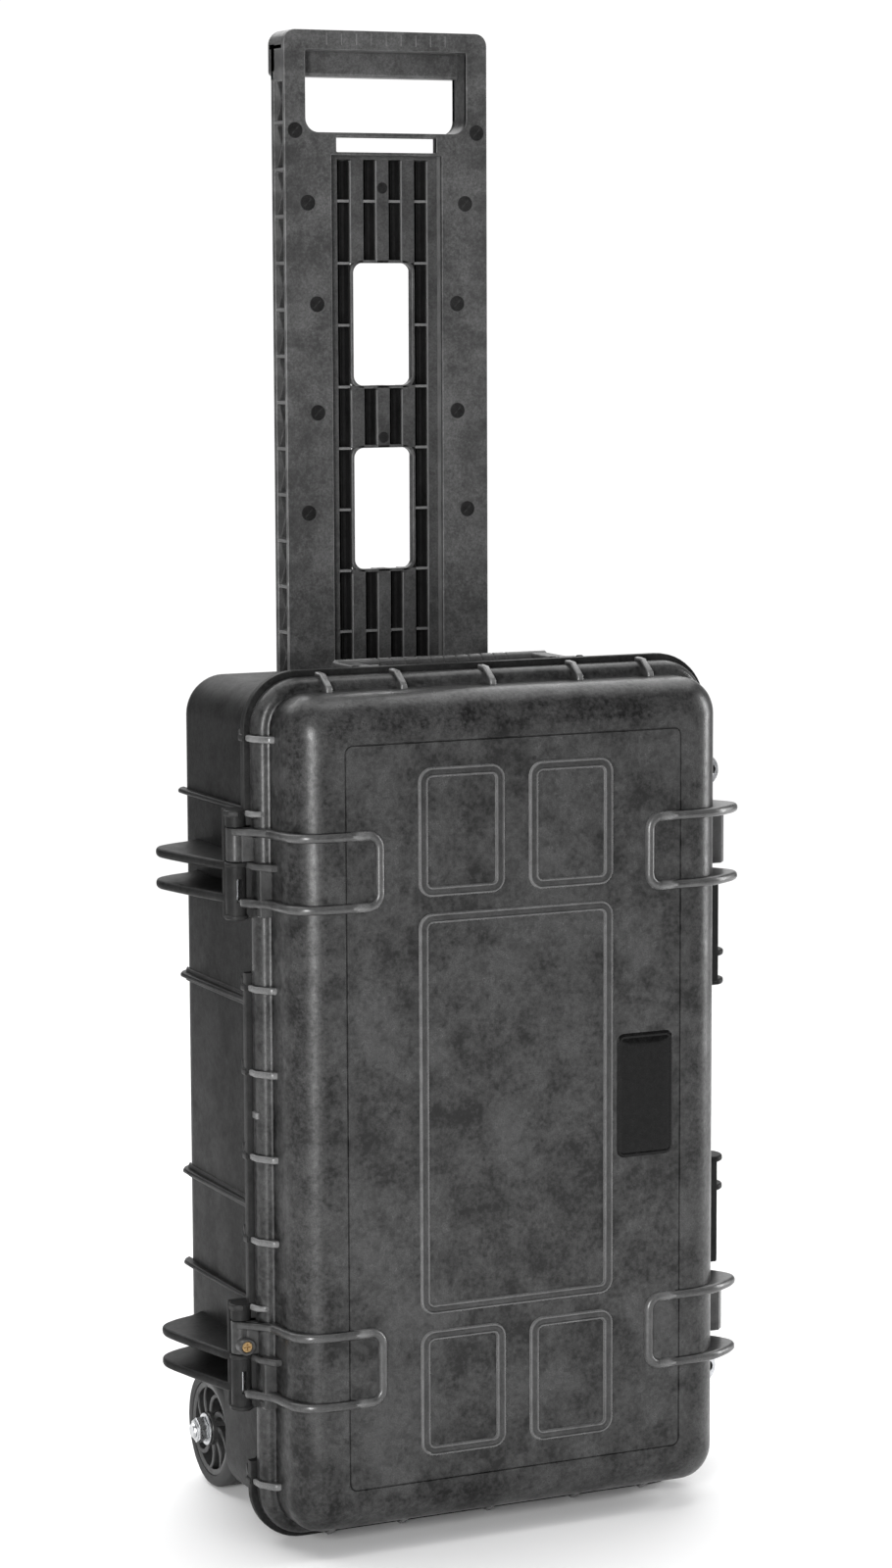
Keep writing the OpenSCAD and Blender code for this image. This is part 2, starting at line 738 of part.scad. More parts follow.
module wheel_side(s) {
    mirror([s > 0 ? 0 : 1, 0, 0]) translate([wheel_out - wheel_w, wheel_y, wheel_z]) rotate([90, 0, 90]) children();
}

module wheel_hub(s) {
    color(trim_colour) wheel_side(s) difference() {
        union() {
            difference() {
                translate([0, 0, 1]) cylinder(h = wheel_w - 2, r = hub_r);
                translate([0, 0, -1]) cylinder(h = wheel_w + 2, r = hub_r - 4);
            }
            translate([0, 0, -2.8]) cylinder(h = wheel_w + 3.6, r = 11);
            translate([0, 0, 9]) cylinder(h = 5, r = hub_r - 2);
            for (i = [0 : spokes - 1]) rotate(i * 360 / spokes) translate([8, -1.4, 3]) cube([hub_r - 11, 2.8, wheel_w - 6]);
        }
        translate([0, 0, -5]) cylinder(h = wheel_w + 10, r = bush_r);
    }
}
module wheel_hub_left() { wheel_hub(-1); }
module wheel_hub_right() { wheel_hub(1); }

module wheel_tyre(s) {
    color([0.06, 0.06, 0.06]) wheel_side(s) rotate_extrude($fn = 96) difference() {
        translate([hub_r, 0]) square([wheel_r - hub_r, wheel_w]);
        for (y = [0, wheel_w]) translate([wheel_r, y]) rotate(45) square([4, 4], center = true);
    }
}
module wheel_tyre_left() { wheel_tyre(-1); }
module wheel_tyre_right() { wheel_tyre(1); }

module wheel_bush(s) {
    color(steel_colour) wheel_side(s) translate([0, 0, -2.8]) difference() {
        cylinder(h = wheel_w + 3.6, r = bush_r);
        translate([0, 0, -1]) cylinder(h = wheel_w + 6, r = axle_r + pin_slack);
    }
}
module wheel_bush_left() { wheel_bush(-1); }
module wheel_bush_right() { wheel_bush(1); }

module axle_bolt(s) {
    head = well_in - well_wall;
    color(steel_colour) mirror([s > 0 ? 0 : 1, 0, 0]) {
        shaft(head - 1, bolt_end, wheel_y, wheel_z, axle_r);
        translate([head - 6, wheel_y, wheel_z]) rotate([0, 90, 0]) cylinder(h = 6, r = 9, $fn = 6);
    }
}
module axle_bolt_left() { axle_bolt(-1); }
module axle_bolt_right() { axle_bolt(1); }

module ring_on_axle(s, x0, x1, r, sides) {
    color(steel_colour) mirror([s > 0 ? 0 : 1, 0, 0]) difference() {
        translate([x0, wheel_y, wheel_z]) rotate([0, 90, 0]) cylinder(h = x1 - x0, r = r, $fn = sides);
        shaft(x0 - 1, x1 + 1, wheel_y, wheel_z, axle_r);
    }
}
module axle_washer_left() { ring_on_axle(-1, wheel_out + 1.1, wheel_out + 2.6, 10.5, 64); }
module axle_washer_right() { ring_on_axle(1, wheel_out + 1.1, wheel_out + 2.6, 10.5, 64); }
module axle_nut_left() { ring_on_axle(-1, wheel_out + 2.6, wheel_out + 10, 8.6, 6); }
module axle_nut_right() { ring_on_axle(1, wheel_out + 2.6, wheel_out + 10, 8.6, 6); }

// ---- assembly ----------------------------------------------------------------

place() base_shell();
place() lid_shell();
place() lid_gasket();
place() label_plate();
place() hinge_pin_upper();
place() hinge_pin_lower();
place() hinge_lock_screw();
place() latch_lever_upper();
place() latch_lever_lower();
place() latch_claw_upper();
place() latch_claw_lower();
place() latch_pin_upper();
place() latch_pin_lower();
place() claw_pin_upper();
place() claw_pin_lower();
place() padlock_plate_upper();
place() padlock_plate_lower();
place() side_handle();
place() side_handle_pins();
place() top_handle();
place() top_handle_pins();
place() trolley_handle();
place() trolley_cover();
place() trolley_cover_screws();
place() wheel_hub_left();
place() wheel_hub_right();
place() wheel_tyre_left();
place() wheel_tyre_right();
place() wheel_bush_left();
place() wheel_bush_right();
place() axle_bolt_left();
place() axle_bolt_right();
place() axle_washer_left();
place() axle_washer_right();
place() axle_nut_left();
place() axle_nut_right();
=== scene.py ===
"""Looks of the wheeled hard equipment case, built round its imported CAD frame.

Shapes are in millimetres from the lid's face (y = 0) and mid-height (z = 0). spot() puts them in the frame.
"""
import json
from math import atan2, copysign, cos, hypot, pi, radians, sin

import bmesh
import bpy
from mathutils import Matrix, Vector


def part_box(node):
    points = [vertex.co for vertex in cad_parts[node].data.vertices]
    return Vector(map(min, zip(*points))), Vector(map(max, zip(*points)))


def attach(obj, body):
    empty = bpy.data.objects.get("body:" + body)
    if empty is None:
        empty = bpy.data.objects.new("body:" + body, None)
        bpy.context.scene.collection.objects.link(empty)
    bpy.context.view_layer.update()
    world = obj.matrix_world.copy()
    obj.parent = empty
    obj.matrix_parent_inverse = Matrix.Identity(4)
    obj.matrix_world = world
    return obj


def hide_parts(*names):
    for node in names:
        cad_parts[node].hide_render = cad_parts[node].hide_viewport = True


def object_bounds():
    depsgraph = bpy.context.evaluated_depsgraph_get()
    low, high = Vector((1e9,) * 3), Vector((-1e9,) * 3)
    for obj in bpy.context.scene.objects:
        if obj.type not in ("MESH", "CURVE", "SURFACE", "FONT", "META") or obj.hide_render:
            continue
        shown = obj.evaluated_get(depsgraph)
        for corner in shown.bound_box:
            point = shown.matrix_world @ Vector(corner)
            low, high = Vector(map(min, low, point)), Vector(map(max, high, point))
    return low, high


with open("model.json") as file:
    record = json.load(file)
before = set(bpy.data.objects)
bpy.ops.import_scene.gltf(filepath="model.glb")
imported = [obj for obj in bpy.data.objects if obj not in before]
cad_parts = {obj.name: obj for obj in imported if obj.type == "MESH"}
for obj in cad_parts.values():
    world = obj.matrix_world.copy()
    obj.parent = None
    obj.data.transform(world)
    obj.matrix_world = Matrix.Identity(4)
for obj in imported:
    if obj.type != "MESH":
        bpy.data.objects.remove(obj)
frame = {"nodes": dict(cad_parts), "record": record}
cad_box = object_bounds()

MM = 0.001
FACE_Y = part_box("label_plate")[0].y
MID_Z = sum(corner.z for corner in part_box("lid_gasket")) / 2


def spot(x, y, z):
    """A place in the frame, in metres, from millimetres on the case."""
    return Vector((x * MM, FACE_Y + y * MM, MID_Z + z * MM))


def to_case(point):
    """Millimetres on the case, from a place in the frame."""
    return (point.x / MM, (point.y - FACE_Y) / MM, (point.z - MID_Z) / MM)


def case_box(node):
    """A node's lowest and highest corners in millimetres on the case."""
    low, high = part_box(node)
    return to_case(low), to_case(high)


# ---- sizes in millimetres; a rectangle is (width, height, corner radius) ----

LID_W, LID_H, CORNER_R = LID = (296, 524, 22)
RIM_W, RIM_H = 313, 541
RIM = (RIM_W, RIM_H, 31)
GASKET = (304, 532, 28)
BASE_W, BASE_H, BASE_R = BASE = (300, 524, 25)
FLANGE_H, FLANGE_T = 549, 5.3
FLANGE = (321, FLANGE_H, 35)
GROOVE_DEPTH = 4.5
GROOVE_FLOOR = case_box("lid_gasket")[0][1]
LID_BACK = GROOVE_FLOOR + GROOVE_DEPTH
SEAM = 0.4
EDGE_R = 24
RIM_FRONT = 40
LID_T, BASE_T = 3.5, 4
BASE_FRONT = LID_BACK + SEAM
FLANGE_BACK = BASE_FRONT + FLANGE_T
BASE_BACK = 192
BACK_R = 20
HOLLOW_BACK = 185.7
CHANNEL_Y = 189.7

PANEL_W, PANEL_H = 230.6, 465
BEAD_W, BEAD_H = 6.6, 1.7
FRAME_W, FRAME_H = 134, 252.6
SMALL_W, SMALL_H, SMALL_X, SMALL_Z = 58.7, 80.5, 37.65, 176.5
ARM_Z = (177, 133)
RIB_X = 93
RIB_H = 3

SIDE_LUGS = (234.5, 79.4, 26.6, -26.6, -79.4, -234.5)
LATCH_LUGS = (234.5, 26.6, -26.6, -234.5)
END_LUGS = (-111, -61, 0, 61, 111)
LUG_T = 4.6
HINGE_X, HINGE_Y = -165, 55
HINGE_TOPS = (190.5, -119.5)
HINGE_LEN = 68
BARREL_R = 6.2
SIDE_RIBS = (187.5, 67.5, -62, -123)
LATCH_Z = 155
LATCH_W = 34
LEVER_X, LEVER_Y = 160, 73
CLAW_X, CLAW_Y = 168.5, 79
TAB_Z = 198

SIDE_GRIP_X, SIDE_GRIP_Y, SIDE_GRIP_Z = 168, 65, -2.3
TOP_GRIP_Y, TOP_GRIP_Z = 68, 269
GRIP_HALF, GRIP_ARM = 68.7, 13

TROLLEY_Y = 190.7
TROLLEY_T = 22
GRIP_T = 28
TROLLEY_HALF = 72
TROLLEY_TOP = case_box("trolley_handle")[1][2]
TROLLEY_BOTTOM = case_box("trolley_handle")[0][2]
WEB_HALF = 39.2
WEB_Y = 198.5
WEB_TOP = TROLLEY_TOP - 79.5
SLOT_HALF, SLOT_Z0, SLOT_Z1 = 57, TROLLEY_TOP - 65, TROLLEY_TOP - 12.5
SLIT_HALF, SLIT_Z0, SLIT_Z1 = 35.5, TROLLEY_TOP - 77.5, TROLLEY_TOP - 67.5
WINDOW_HALF, WINDOW_H = 20.9, 79.5
WINDOW_Z = (TROLLEY_TOP - 228, TROLLEY_TOP - 348.3)
RIM_DEPTH = 5.4
WEB_PITCH = 40.1
TRUSS_PITCH = 29.9

WHEEL_Y = 175.7
WHEEL_R = 38.5
WHEEL_Z = case_box("wheel_tyre_left")[0][2] + WHEEL_R
WHEEL_OUT = 140.6
WHEEL_W = 24
SPOKES = 9
BOLT_R, WASHER_T, NUT_T = 5, 1.5, 6.6
THREAD_LEN, THREAD_PITCH = 24, 1.2
WELL_X, WELL_Y, WELL_TOP = 113, 121, WHEEL_Z + WHEEL_R + 4
RAIL_BACK = 216.4


# ---- shape helpers ----

def round_rect(w, h, r, steps=12):
    """Outline of a rounded rectangle, with the same number of points at any size."""
    points = []
    for sx, sz, start in ((1, 1, 0), (-1, 1, 90), (-1, -1, 180), (1, -1, 270)):
        for i in range(steps + 1):
            a = radians(start + 90 * i / steps)
            points.append((sx * (w / 2 - r) + r * cos(a), sz * (h / 2 - r) + r * sin(a)))
    return points


def smooth_line(points, steps=6):
    """A rounded line through a few points (Catmull-Rom)."""
    out = []
    padded = [points[0], *points, points[-1]]
    for corners in zip(padded, padded[1:], padded[2:], padded[3:]):
        for k in range(steps):
            t = k / steps
            out.append(tuple(
                0.5 * (2 * b + (c - a) * t + (2 * a - 5 * b + 4 * c - d) * t ** 2 + (3 * b - a - 3 * c + d) * t ** 3)
                for a, b, c, d in zip(*corners)))
    out.append(points[-1])
    return out


def mirrored(points):
    """The same outline on the hinge side, where x is negative."""
    return [(-x, y) for x, y in points]


def disc(x, z, r, steps=40):
    """Points round a circle."""
    return [(x + r * cos(2 * pi * i / steps), z + r * sin(2 * pi * i / steps)) for i in range(steps)]


def in_scene(name, data):
    """New object in the scene for a mesh, curve, lamp or camera."""
    thing = bpy.data.objects.new(name, data)
    bpy.context.scene.collection.objects.link(thing)
    return thing


def as_mesh(thing):
    """Mesh of an object with its modifiers or bevels carried out."""
    return bpy.data.meshes.new_from_object(thing.evaluated_get(bpy.context.evaluated_depsgraph_get()))


def skin(rows, closed=False):
    """Mesh through rows of points. A skin that isn't closed gets flat ends."""
    bm = bmesh.new()
    loops = [[bm.verts.new(p) for p in row] for row in rows]
    for a, b in zip(loops, loops[1:] + loops[:1] if closed else loops[1:]):
        for i in range(len(a)):
            j = (i + 1) % len(a)
            bm.faces.new((a[i], a[j], b[j], b[i]))
    if not closed:
        bm.faces.new(loops[0])
        bm.faces.new(loops[-1])
    return bm


PLANES = {
    "x": Matrix(((0, 0, 1), (1, 0, 0), (0, 1, 0))),
    "y": Matrix(((1, 0, 0), (0, 0, -1), (0, 1, 0))),
    "z": Matrix.Identity(3),
}


def plane_matrix(plane, level):
    """Carries a flat outline into the plane across an axis, at a level along it."""
    normal = {"x": (1, 0, 0), "y": (0, 1, 0), "z": (0, 0, 1)}[plane]
    return Matrix.Translation(Vector(normal) * level) @ PLANES[plane].to_4x4()


class Part:
    """Collects shapes in case millimetres and turns them into one Blender piece."""

    def __init__(self):
        self.bm = bmesh.new()

    def take(self, bm, matrix=None):
        """Adds a loose mesh, and frees it."""
        mesh = bpy.data.meshes.new("part")
        if matrix is not None:
            bmesh.ops.transform(bm, matrix=matrix, verts=bm.verts)
        bmesh.ops.recalc_face_normals(bm, faces=bm.faces)
        bm.to_mesh(mesh)
        bm.free()
        self.bm.from_mesh(mesh)
        bpy.data.meshes.remove(mesh)
        return self

    def loft(self, rings, matrix=None):
        """Closed skin through rings of points, with flat ends."""
        return self.take(skin(rings), matrix)

    def box(self, x0, x1, y0, y1, z0, z1, bevel, segments=2, matrix=None):
        """Block with rounded edges."""
        bm = bmesh.new()
        bmesh.ops.create_cube(bm, size=1)
        size = (x1 - x0, y1 - y0, z1 - z0)
        middle = Matrix.Translation(((x0 + x1) / 2, (y0 + y1) / 2, (z0 + z1) / 2))
        bmesh.ops.transform(bm, matrix=middle @ Matrix.Diagonal((*size, 1)), verts=bm.verts)
        room = 0.45 * min(size)
        bmesh.ops.bevel(bm, geom=bm.edges[:], offset=min(bevel, room), segments=segments, profile=0.5, affect="EDGES")
        return self.take(bm, matrix)

    def both_sides(self, x0, x1, *rest):
        """The same block on the left and on the right."""
        for side in (-1, 1):
            self.box(*sorted((side * x0, side * x1)), *rest)

    def plate(self, outlines, thickness, plane, level, bevel=1.0, steps=3, matrix=None):
        """Flat plate with rounded edges. The first outline is its rim and the others are holes."""
        data = bpy.data.curves.new("plate", "CURVE")
        data.dimensions = "2D"
        data.fill_mode = "BOTH"
        bevel = min(bevel, thickness * 0.48)
        data.extrude = thickness / 2 - bevel
        data.bevel_depth = bevel
        data.bevel_resolution = steps
        data.offset = -bevel
        for outline in outlines:
            spline = data.splines.new("POLY")
            spline.points.add(len(outline) - 1)
            spline.use_cyclic_u = True
            for point, (u, v) in zip(spline.points, outline):
                point.co = (u, v, 0, 1)
        holder = in_scene("plate", data)
        mesh = as_mesh(holder)
        bpy.data.objects.remove(holder)
        bpy.data.curves.remove(data)
        bm = bmesh.new()
        bm.from_mesh(mesh)
        bpy.data.meshes.remove(mesh)
        bmesh.ops.remove_doubles(bm, verts=bm.verts, dist=1e-4)
        place = plane_matrix(plane, level)
        return self.take(bm, place if matrix is None else matrix @ place)

    def lathe(self, profile, matrix, segments=48):
        """Turned shape: profile is (radius, height) from end to end, about the local Z axis."""
        return self.loft([[(x, y, h) for x, y in disc(0, 0, r, segments)] for r, h in profile], matrix)

    def ring(self, profile, matrix, segments=64):
        """Turned ring: profile is a closed line of (radius, height)."""
        turns = [2 * pi * i / segments for i in range(segments)]
        rows = [[(r * cos(a), r * sin(a), h) for r, h in profile] for a in turns]
        return self.take(skin(rows, closed=True), matrix)

    def sweep(self, path, profile, normal, closed=False):
        """Carries a closed profile (across, out) along a path that lies square to normal."""
        out = Vector(normal)
        points = [Vector(p) for p in path]
        count = len(points)
        rows = []
        for i, p in enumerate(points):
            before = points[i - 1] if closed or i > 0 else points[0]
            after = points[(i + 1) % count] if closed or i < count - 1 else points[-1]
            ways = [w.normalized() for w in (p - before, after - p) if w.length > 1e-6]
            along = sum(ways, Vector()).normalized()
            stretch = 1 / max(along.dot(ways[0]), 0.5)
            side = along.cross(out).normalized()
            rows.append([p + side * u * stretch + out * v for u, v in profile])
        return self.take(skin(rows, closed))

    def cut(self, *tools):
        """Takes other parts' solids away."""
        own = self.loose_object()
        for tool in tools:
            other = tool.loose_object()
            modifier = own.modifiers.new("cut", "BOOLEAN")
            modifier.object = other
            modifier.operation = "DIFFERENCE"
            modifier.solver = "EXACT"
            mesh = as_mesh(own)
            own.modifiers.clear()
            old = own.data
            own.data = mesh
            bpy.data.meshes.remove(old)
            bpy.data.objects.remove(other)
        self.bm = bmesh.new()
        self.bm.from_mesh(own.data)
        bpy.data.objects.remove(own)
        return self

    def loose_object(self, name="loose"):
        """Ends the collecting, and puts the shapes in the scene as one object."""
        mesh = bpy.data.meshes.new(name)
        self.bm.to_mesh(mesh)
        self.bm.free()
        return in_scene(name, mesh)

    def done(self, name, body, slot, material, *nodes, sharp=38):
        """Makes the Blender piece, in metres, riding on a body."""
        piece = self.loose_object(name)
        mesh = piece.data
        mesh.transform(Matrix.Translation((0, FACE_Y, MID_Z)) @ Matrix.Scale(MM, 4))
        mesh.polygons.foreach_set("use_smooth", [True] * len(mesh.polygons))
        mesh.set_sharp_from_angle(angle=radians(sharp))
        mesh.materials.append(material)
        weighted = piece.modifiers.new("normals", "WEIGHTED_NORMAL")
        weighted.keep_sharp = True
        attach(piece, body)
        if nodes:
            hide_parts(*nodes)
        return piece


def collar(r0, r1, low, high, chamfer):
    """Closed profile of a chamfered ring."""
    cut = r1 - chamfer
    return [(r0, low), (cut, low), (r1, low + chamfer), (r1, high - chamfer), (cut, high), (r0, high)]


def rod_profile(length, r, chamfer):
    """Profile of a turned rod with chamfered ends."""
    return [(r - chamfer, 0), (r - 0.3 * chamfer, 0.3 * chamfer), (r, chamfer),
            (r, length - chamfer), (r - 0.3 * chamfer, length - 0.3 * chamfer), (r - chamfer, length)]


def upright(x, y, z):
    """Places a turned shape with its axis up."""
    return Matrix.Translation((x, y, z))


def along_x(x, y, z, side):
    """Places a turned shape with its axis out to one side."""
    return Matrix.Translation((x, y, z)) @ Matrix.Rotation(radians(90 * side), 4, "Y")


def towards_front(x, y, z):
    """Places a turned shape with its axis out of the lid's face."""
    return Matrix.Translation((x, y, z)) @ Matrix.Rotation(radians(90), 4, "X")


# ---- materials ----

class Nodes:
    """Short way to build one node tree."""

    def __init__(self, name):
        self.material = bpy.data.materials.new(name)
        self.material.use_nodes = True
        self.tree = self.material.node_tree
        self.shader = self.tree.nodes["Principled BSDF"]
        self.coords = self.add("ShaderNodeTexCoord").outputs["Object"]

    def add(self, kind, **inputs):
        node = self.tree.nodes.new(kind)
        for key, value in inputs.items():
            self.feed(node.inputs[key], value)
        return node

    def link(self, a, b):
        self.tree.links.new(a, b)

    def feed(self, socket, value):
        """Links an output to a socket, or sets the socket's own value."""
        if hasattr(value, "is_output"):
            self.link(value, socket)
        else:
            socket.default_value = value

    def noise(self, scale, detail=3, rough=0.5, stretch=(1, 1, 1)):
        mapping = self.add("ShaderNodeMapping", Vector=self.coords, Scale=stretch)
        node = self.add("ShaderNodeTexNoise", Vector=mapping.outputs[0], Scale=scale, Detail=detail, Roughness=rough)
        return node.outputs["Fac"]

    def ramp(self, value, stops):
        node = self.add("ShaderNodeValToRGB", Fac=value)
        for _ in range(len(stops) - 2):
            node.color_ramp.elements.new(0.5)
        for element, (place, colour) in zip(node.color_ramp.elements, stops):
            element.position = place
            element.color = (*colour, 1) if isinstance(colour, tuple) else (colour, colour, colour, 1)
        return node.outputs["Color"]

    def mix(self, factor, a, b, kind="MIX"):
        node = self.tree.nodes.new("ShaderNodeMix")
        node.data_type = "RGBA"
        node.blend_type = kind
        for key, value in ((0, factor), (6, a), (7, b)):
            self.feed(node.inputs[key], (*value, 1) if isinstance(value, tuple) else value)
        return node.outputs[2]

    def maths(self, kind, a, b):
        node = self.tree.nodes.new("ShaderNodeMath")
        node.operation = kind
        for socket, value in zip(node.inputs, (a, b)):
            self.feed(socket, value)
        return node.outputs[0]

    def times(self, a, b):
        return self.maths("MULTIPLY", a, b)

    def plus(self, a, b):
        return self.maths("ADD", a, b)

    def bump(self, height, strength, distance, below=None):
        node = self.add("ShaderNodeBump", Height=height, Strength=strength, Distance=distance)
        if below is not None:
            self.link(below, node.inputs["Normal"])
        return node.outputs["Normal"]


def grey(value):
    return (value, value, value)


def moulded_plastic(name, dark, light, grain=900, grain_depth=0.2, rough=(0.34, 0.50), blotch=28, edge_highlight=0.5,
                    gloss=0.35, highlight_tone=2.4, sink_mark_shade=False):
    """Moulded polypropylene: leathery grain, cloudy patches, a painted highlight along convex edges and painted shade
    in creases.
    """
    n = Nodes(name)
    middle = (dark + light) / 2
    cloud = n.ramp(n.noise(blotch, 9, 0.72), [(0.40, 0.0), (0.60, 1.0)])
    smudge = n.ramp(n.noise(blotch * 4.2, 7, 0.75), [(0.34, 0.0), (0.66, 1.0)])
    fleck = n.ramp(n.noise(blotch * 21, 3, 0.6), [(0.3, 0.0), (0.7, 1.0)])
    fine = n.noise(grain, 2, 0.6)
    mixed = n.plus(n.times(cloud, 0.34), n.times(smudge, 0.32))
    mixed = n.plus(mixed, n.times(fleck, 0.34))
    patches = n.ramp(mixed, [(0.25, grey(dark)), (0.5, grey(middle)), (0.77, grey(light))])
    speckle = n.ramp(fine, [(0.32, grey(0.45)), (0.68, grey(1.5))])
    colour = n.mix(0.6, patches, speckle, "MULTIPLY")
    point = n.tree.nodes.new("ShaderNodeNewGeometry").outputs["Pointiness"]
    # Painted shade: colour is darkened in concave creases, found from pointiness.
    painted_crease_shade = n.ramp(point, [(0.42, 1.0), (0.485, 0.0)])
    colour = n.mix(n.times(painted_crease_shade, 0.7), colour, grey(dark * 0.35))
    # Painted highlight: convex edges, found from pointiness, are lightened in patches, and the same mask makes them a
    # little glossier.
    edges = n.times(n.ramp(point, [(0.512, 0.0), (0.58, 1.0)]), n.ramp(smudge, [(0.0, 0.55), (1.0, 1.0)]))
    colour = n.mix(n.times(edges, edge_highlight), colour, grey(light * highlight_tone))
    # Painted shade over the trolley handle's sink marks.
    if sink_mark_shade:
        colour = n.mix(painted_sink_shade(n), colour, grey(dark * 0.5))
    n.link(colour, n.shader.inputs["Base Color"])
    n.shader.inputs["Specular IOR Level"].default_value = gloss
    shine = n.plus(n.times(mixed, rough[0] - rough[1]), rough[1])
    n.link(n.maths("SUBTRACT", shine, n.times(edges, 0.10)), n.shader.inputs["Roughness"])
    coarse = n.bump(n.noise(grain * 0.32, 3, 0.6), 0.30 * grain_depth, 0.0007)
    n.link(n.bump(fine, 0.6 * grain_depth, 0.00025, coarse), n.shader.inputs["Normal"])
    return n.material


def painted_sink_shade(n):
    """Painted shade: soft dark marks over the sink marks, one to each hidden cross rib, along both edges of the
    trolley handle.
    """
    axes = n.tree.nodes.new("ShaderNodeSeparateXYZ")
    n.link(n.coords, axes.inputs[0])
    wobble = n.times(n.noise(30, 3, 0.6), 0.016)
    out = n.plus(n.maths("ABSOLUTE", axes.outputs["X"], 0), wobble)
    side = n.ramp(n.times(n.maths("SUBTRACT", out, 0.062), 60), [(0.0, 0.0), (1.0, 1.0)])
    turn = n.times(n.plus(axes.outputs["Z"], n.times(wobble, 0.8)),
                   2 * pi / (TRUSS_PITCH * MM))
    wave = n.ramp(n.times(n.plus(n.maths("SINE", turn, 0), 1), 0.5), [(0.45, 0.0), (0.8, 1.0)])
    return n.times(n.times(side, wave), 0.42)


def bare_metal(name, colour, rough, lines=(1, 1, 1)):
    """Plated or drawn metal with fine tool marks and dull patches."""
    n = Nodes(name)
    marks = n.noise(900, 3, 0.6, lines)
    dull = n.noise(120, 4, 0.6)
    tone = n.ramp(dull, [(0.3, tuple(c * 0.7 for c in colour)), (0.7, colour)])
    n.link(tone, n.shader.inputs["Base Color"])
    n.link(n.ramp(marks, [(0.3, rough * 0.7), (0.7, rough * 1.4)]), n.shader.inputs["Roughness"])
    n.link(n.bump(marks, 0.25, 0.0001), n.shader.inputs["Normal"])
    n.shader.inputs["Metallic"].default_value = 1
    return n.material


def rubber(name, dark, light):
    n = Nodes(name)
    dust = n.noise(70, 5, 0.65)
    n.link(n.ramp(dust, [(0.35, grey(dark)), (0.7, grey(light))]), n.shader.inputs["Base Color"])
    n.link(n.ramp(dust, [(0.3, 0.6), (0.7, 0.82)]), n.shader.inputs["Roughness"])
    n.link(n.bump(n.noise(2400, 2, 0.5), 0.3, 0.0002), n.shader.inputs["Normal"])
    return n.material


def gloss_label(name):
    """Domed glossy plate with a plain border and soft, worn haze."""
    n = Nodes(name)
    haze = n.noise(300, 4, 0.6)
    n.link(n.ramp(haze, [(0.3, grey(0.002)), (0.75, grey(0.006))]), n.shader.inputs["Base Color"])
    n.link(n.ramp(haze, [(0.3, 0.10), (0.8, 0.22)]), n.shader.inputs["Roughness"])
    n.link(n.bump(n.noise(60, 2, 0.5), 0.05, 0.0004), n.shader.inputs["Normal"])
    n.shader.inputs["Specular IOR Level"].default_value = 0.1
    n.shader.inputs["Coat Weight"].default_value = 0.08
    n.shader.inputs["Coat Roughness"].default_value = 0.06
    return n.material


SHELL = moulded_plastic("shell_plastic", 0.0005, 0.038, grain=1300, grain_depth=0.28, rough=(0.24, 0.46), blotch=17,
                        gloss=0.29)
# Painted light: a paler copy of the shell plastic, so the moulded-in ribs and lugs read brighter, with a strong
# painted highlight on their edges.
LIT_RIB_PLASTIC = moulded_plastic("rib_plastic_lit", 0.012, 0.040, grain=1500, grain_depth=0.12, rough=(0.26, 0.40), edge_highlight=0.8,
                       gloss=0.5, highlight_tone=4.5)
# Painted shade: a darker copy of the shell plastic for the base and its fittings, standing in for the shade on the
# base's sides.
SHADED_BASE_PLASTIC = moulded_plastic("base_plastic_shaded", 0.006, 0.015, grain=1700, grain_depth=0.25, rough=(0.42, 0.54), blotch=17,
                       gloss=0.08)
TRIM = moulded_plastic("trim_plastic", 0.014, 0.042, rough=(0.32, 0.50), edge_highlight=0.8)
SHAFT = moulded_plastic("shaft_plastic", 0.020, 0.062, blotch=22, edge_highlight=0.9, gloss=0.4, sink_mark_shade=True)
STRIP = moulded_plastic("strip_plastic", 0.016, 0.046, edge_highlight=0.1)
HUB = moulded_plastic("hub_plastic", 0.008, 0.022, blotch=40, edge_highlight=0.25, gloss=0.3)
# Painted shade: near-black plastic for the floors and walls of the trolley's deep channels.
SHADE_PLASTIC = moulded_plastic("channel_painted_shade", 0.004, 0.010, rough=(0.5, 0.6), blotch=17, edge_highlight=0.1, gloss=0.12)
TYRE = rubber("tyre_rubber", 0.018, 0.035)
SEAL = rubber("seal_rubber", 0.010, 0.020)
STEEL = bare_metal("pin_steel", (0.60, 0.61, 0.63), 0.26, (1, 1, 0.1))
ZINC = bare_metal("zinc_plate", (0.62, 0.63, 0.64), 0.30)
BRASS = bare_metal("brass_screw", (0.46, 0.31, 0.15), 0.34)
LABEL = gloss_label("label_gloss")


# ---- lid ----

def level_ring(w, h, r, y):
    """Rounded rectangle across the case at one depth."""
    return [(x, y, z) for x, z in round_rect(w, h, r)]


def grown(rect, by, y):
    """A named rectangle made wider and taller, at one depth."""
    w, h, r = rect
    return level_ring(w + by, h + by, r + by / 2, y)


def quarter(steps):
    """Angles from 0 to 90 degrees."""
    return [radians(90 * i / steps) for i in range(steps + 1)]


def rounded_end(w, h, r_end, r_full, edge, y, way, steps):
    """Rings of a rounded edge, from the flat end at depth y out to the full size."""
    return [level_ring(w - 2 * edge * (1 - sin(a)), h - 2 * edge * (1 - sin(a)), r_end + (r_full - r_end) * sin(a),
                       y + way * edge * (1 - cos(a))) for a in quarter(steps)]


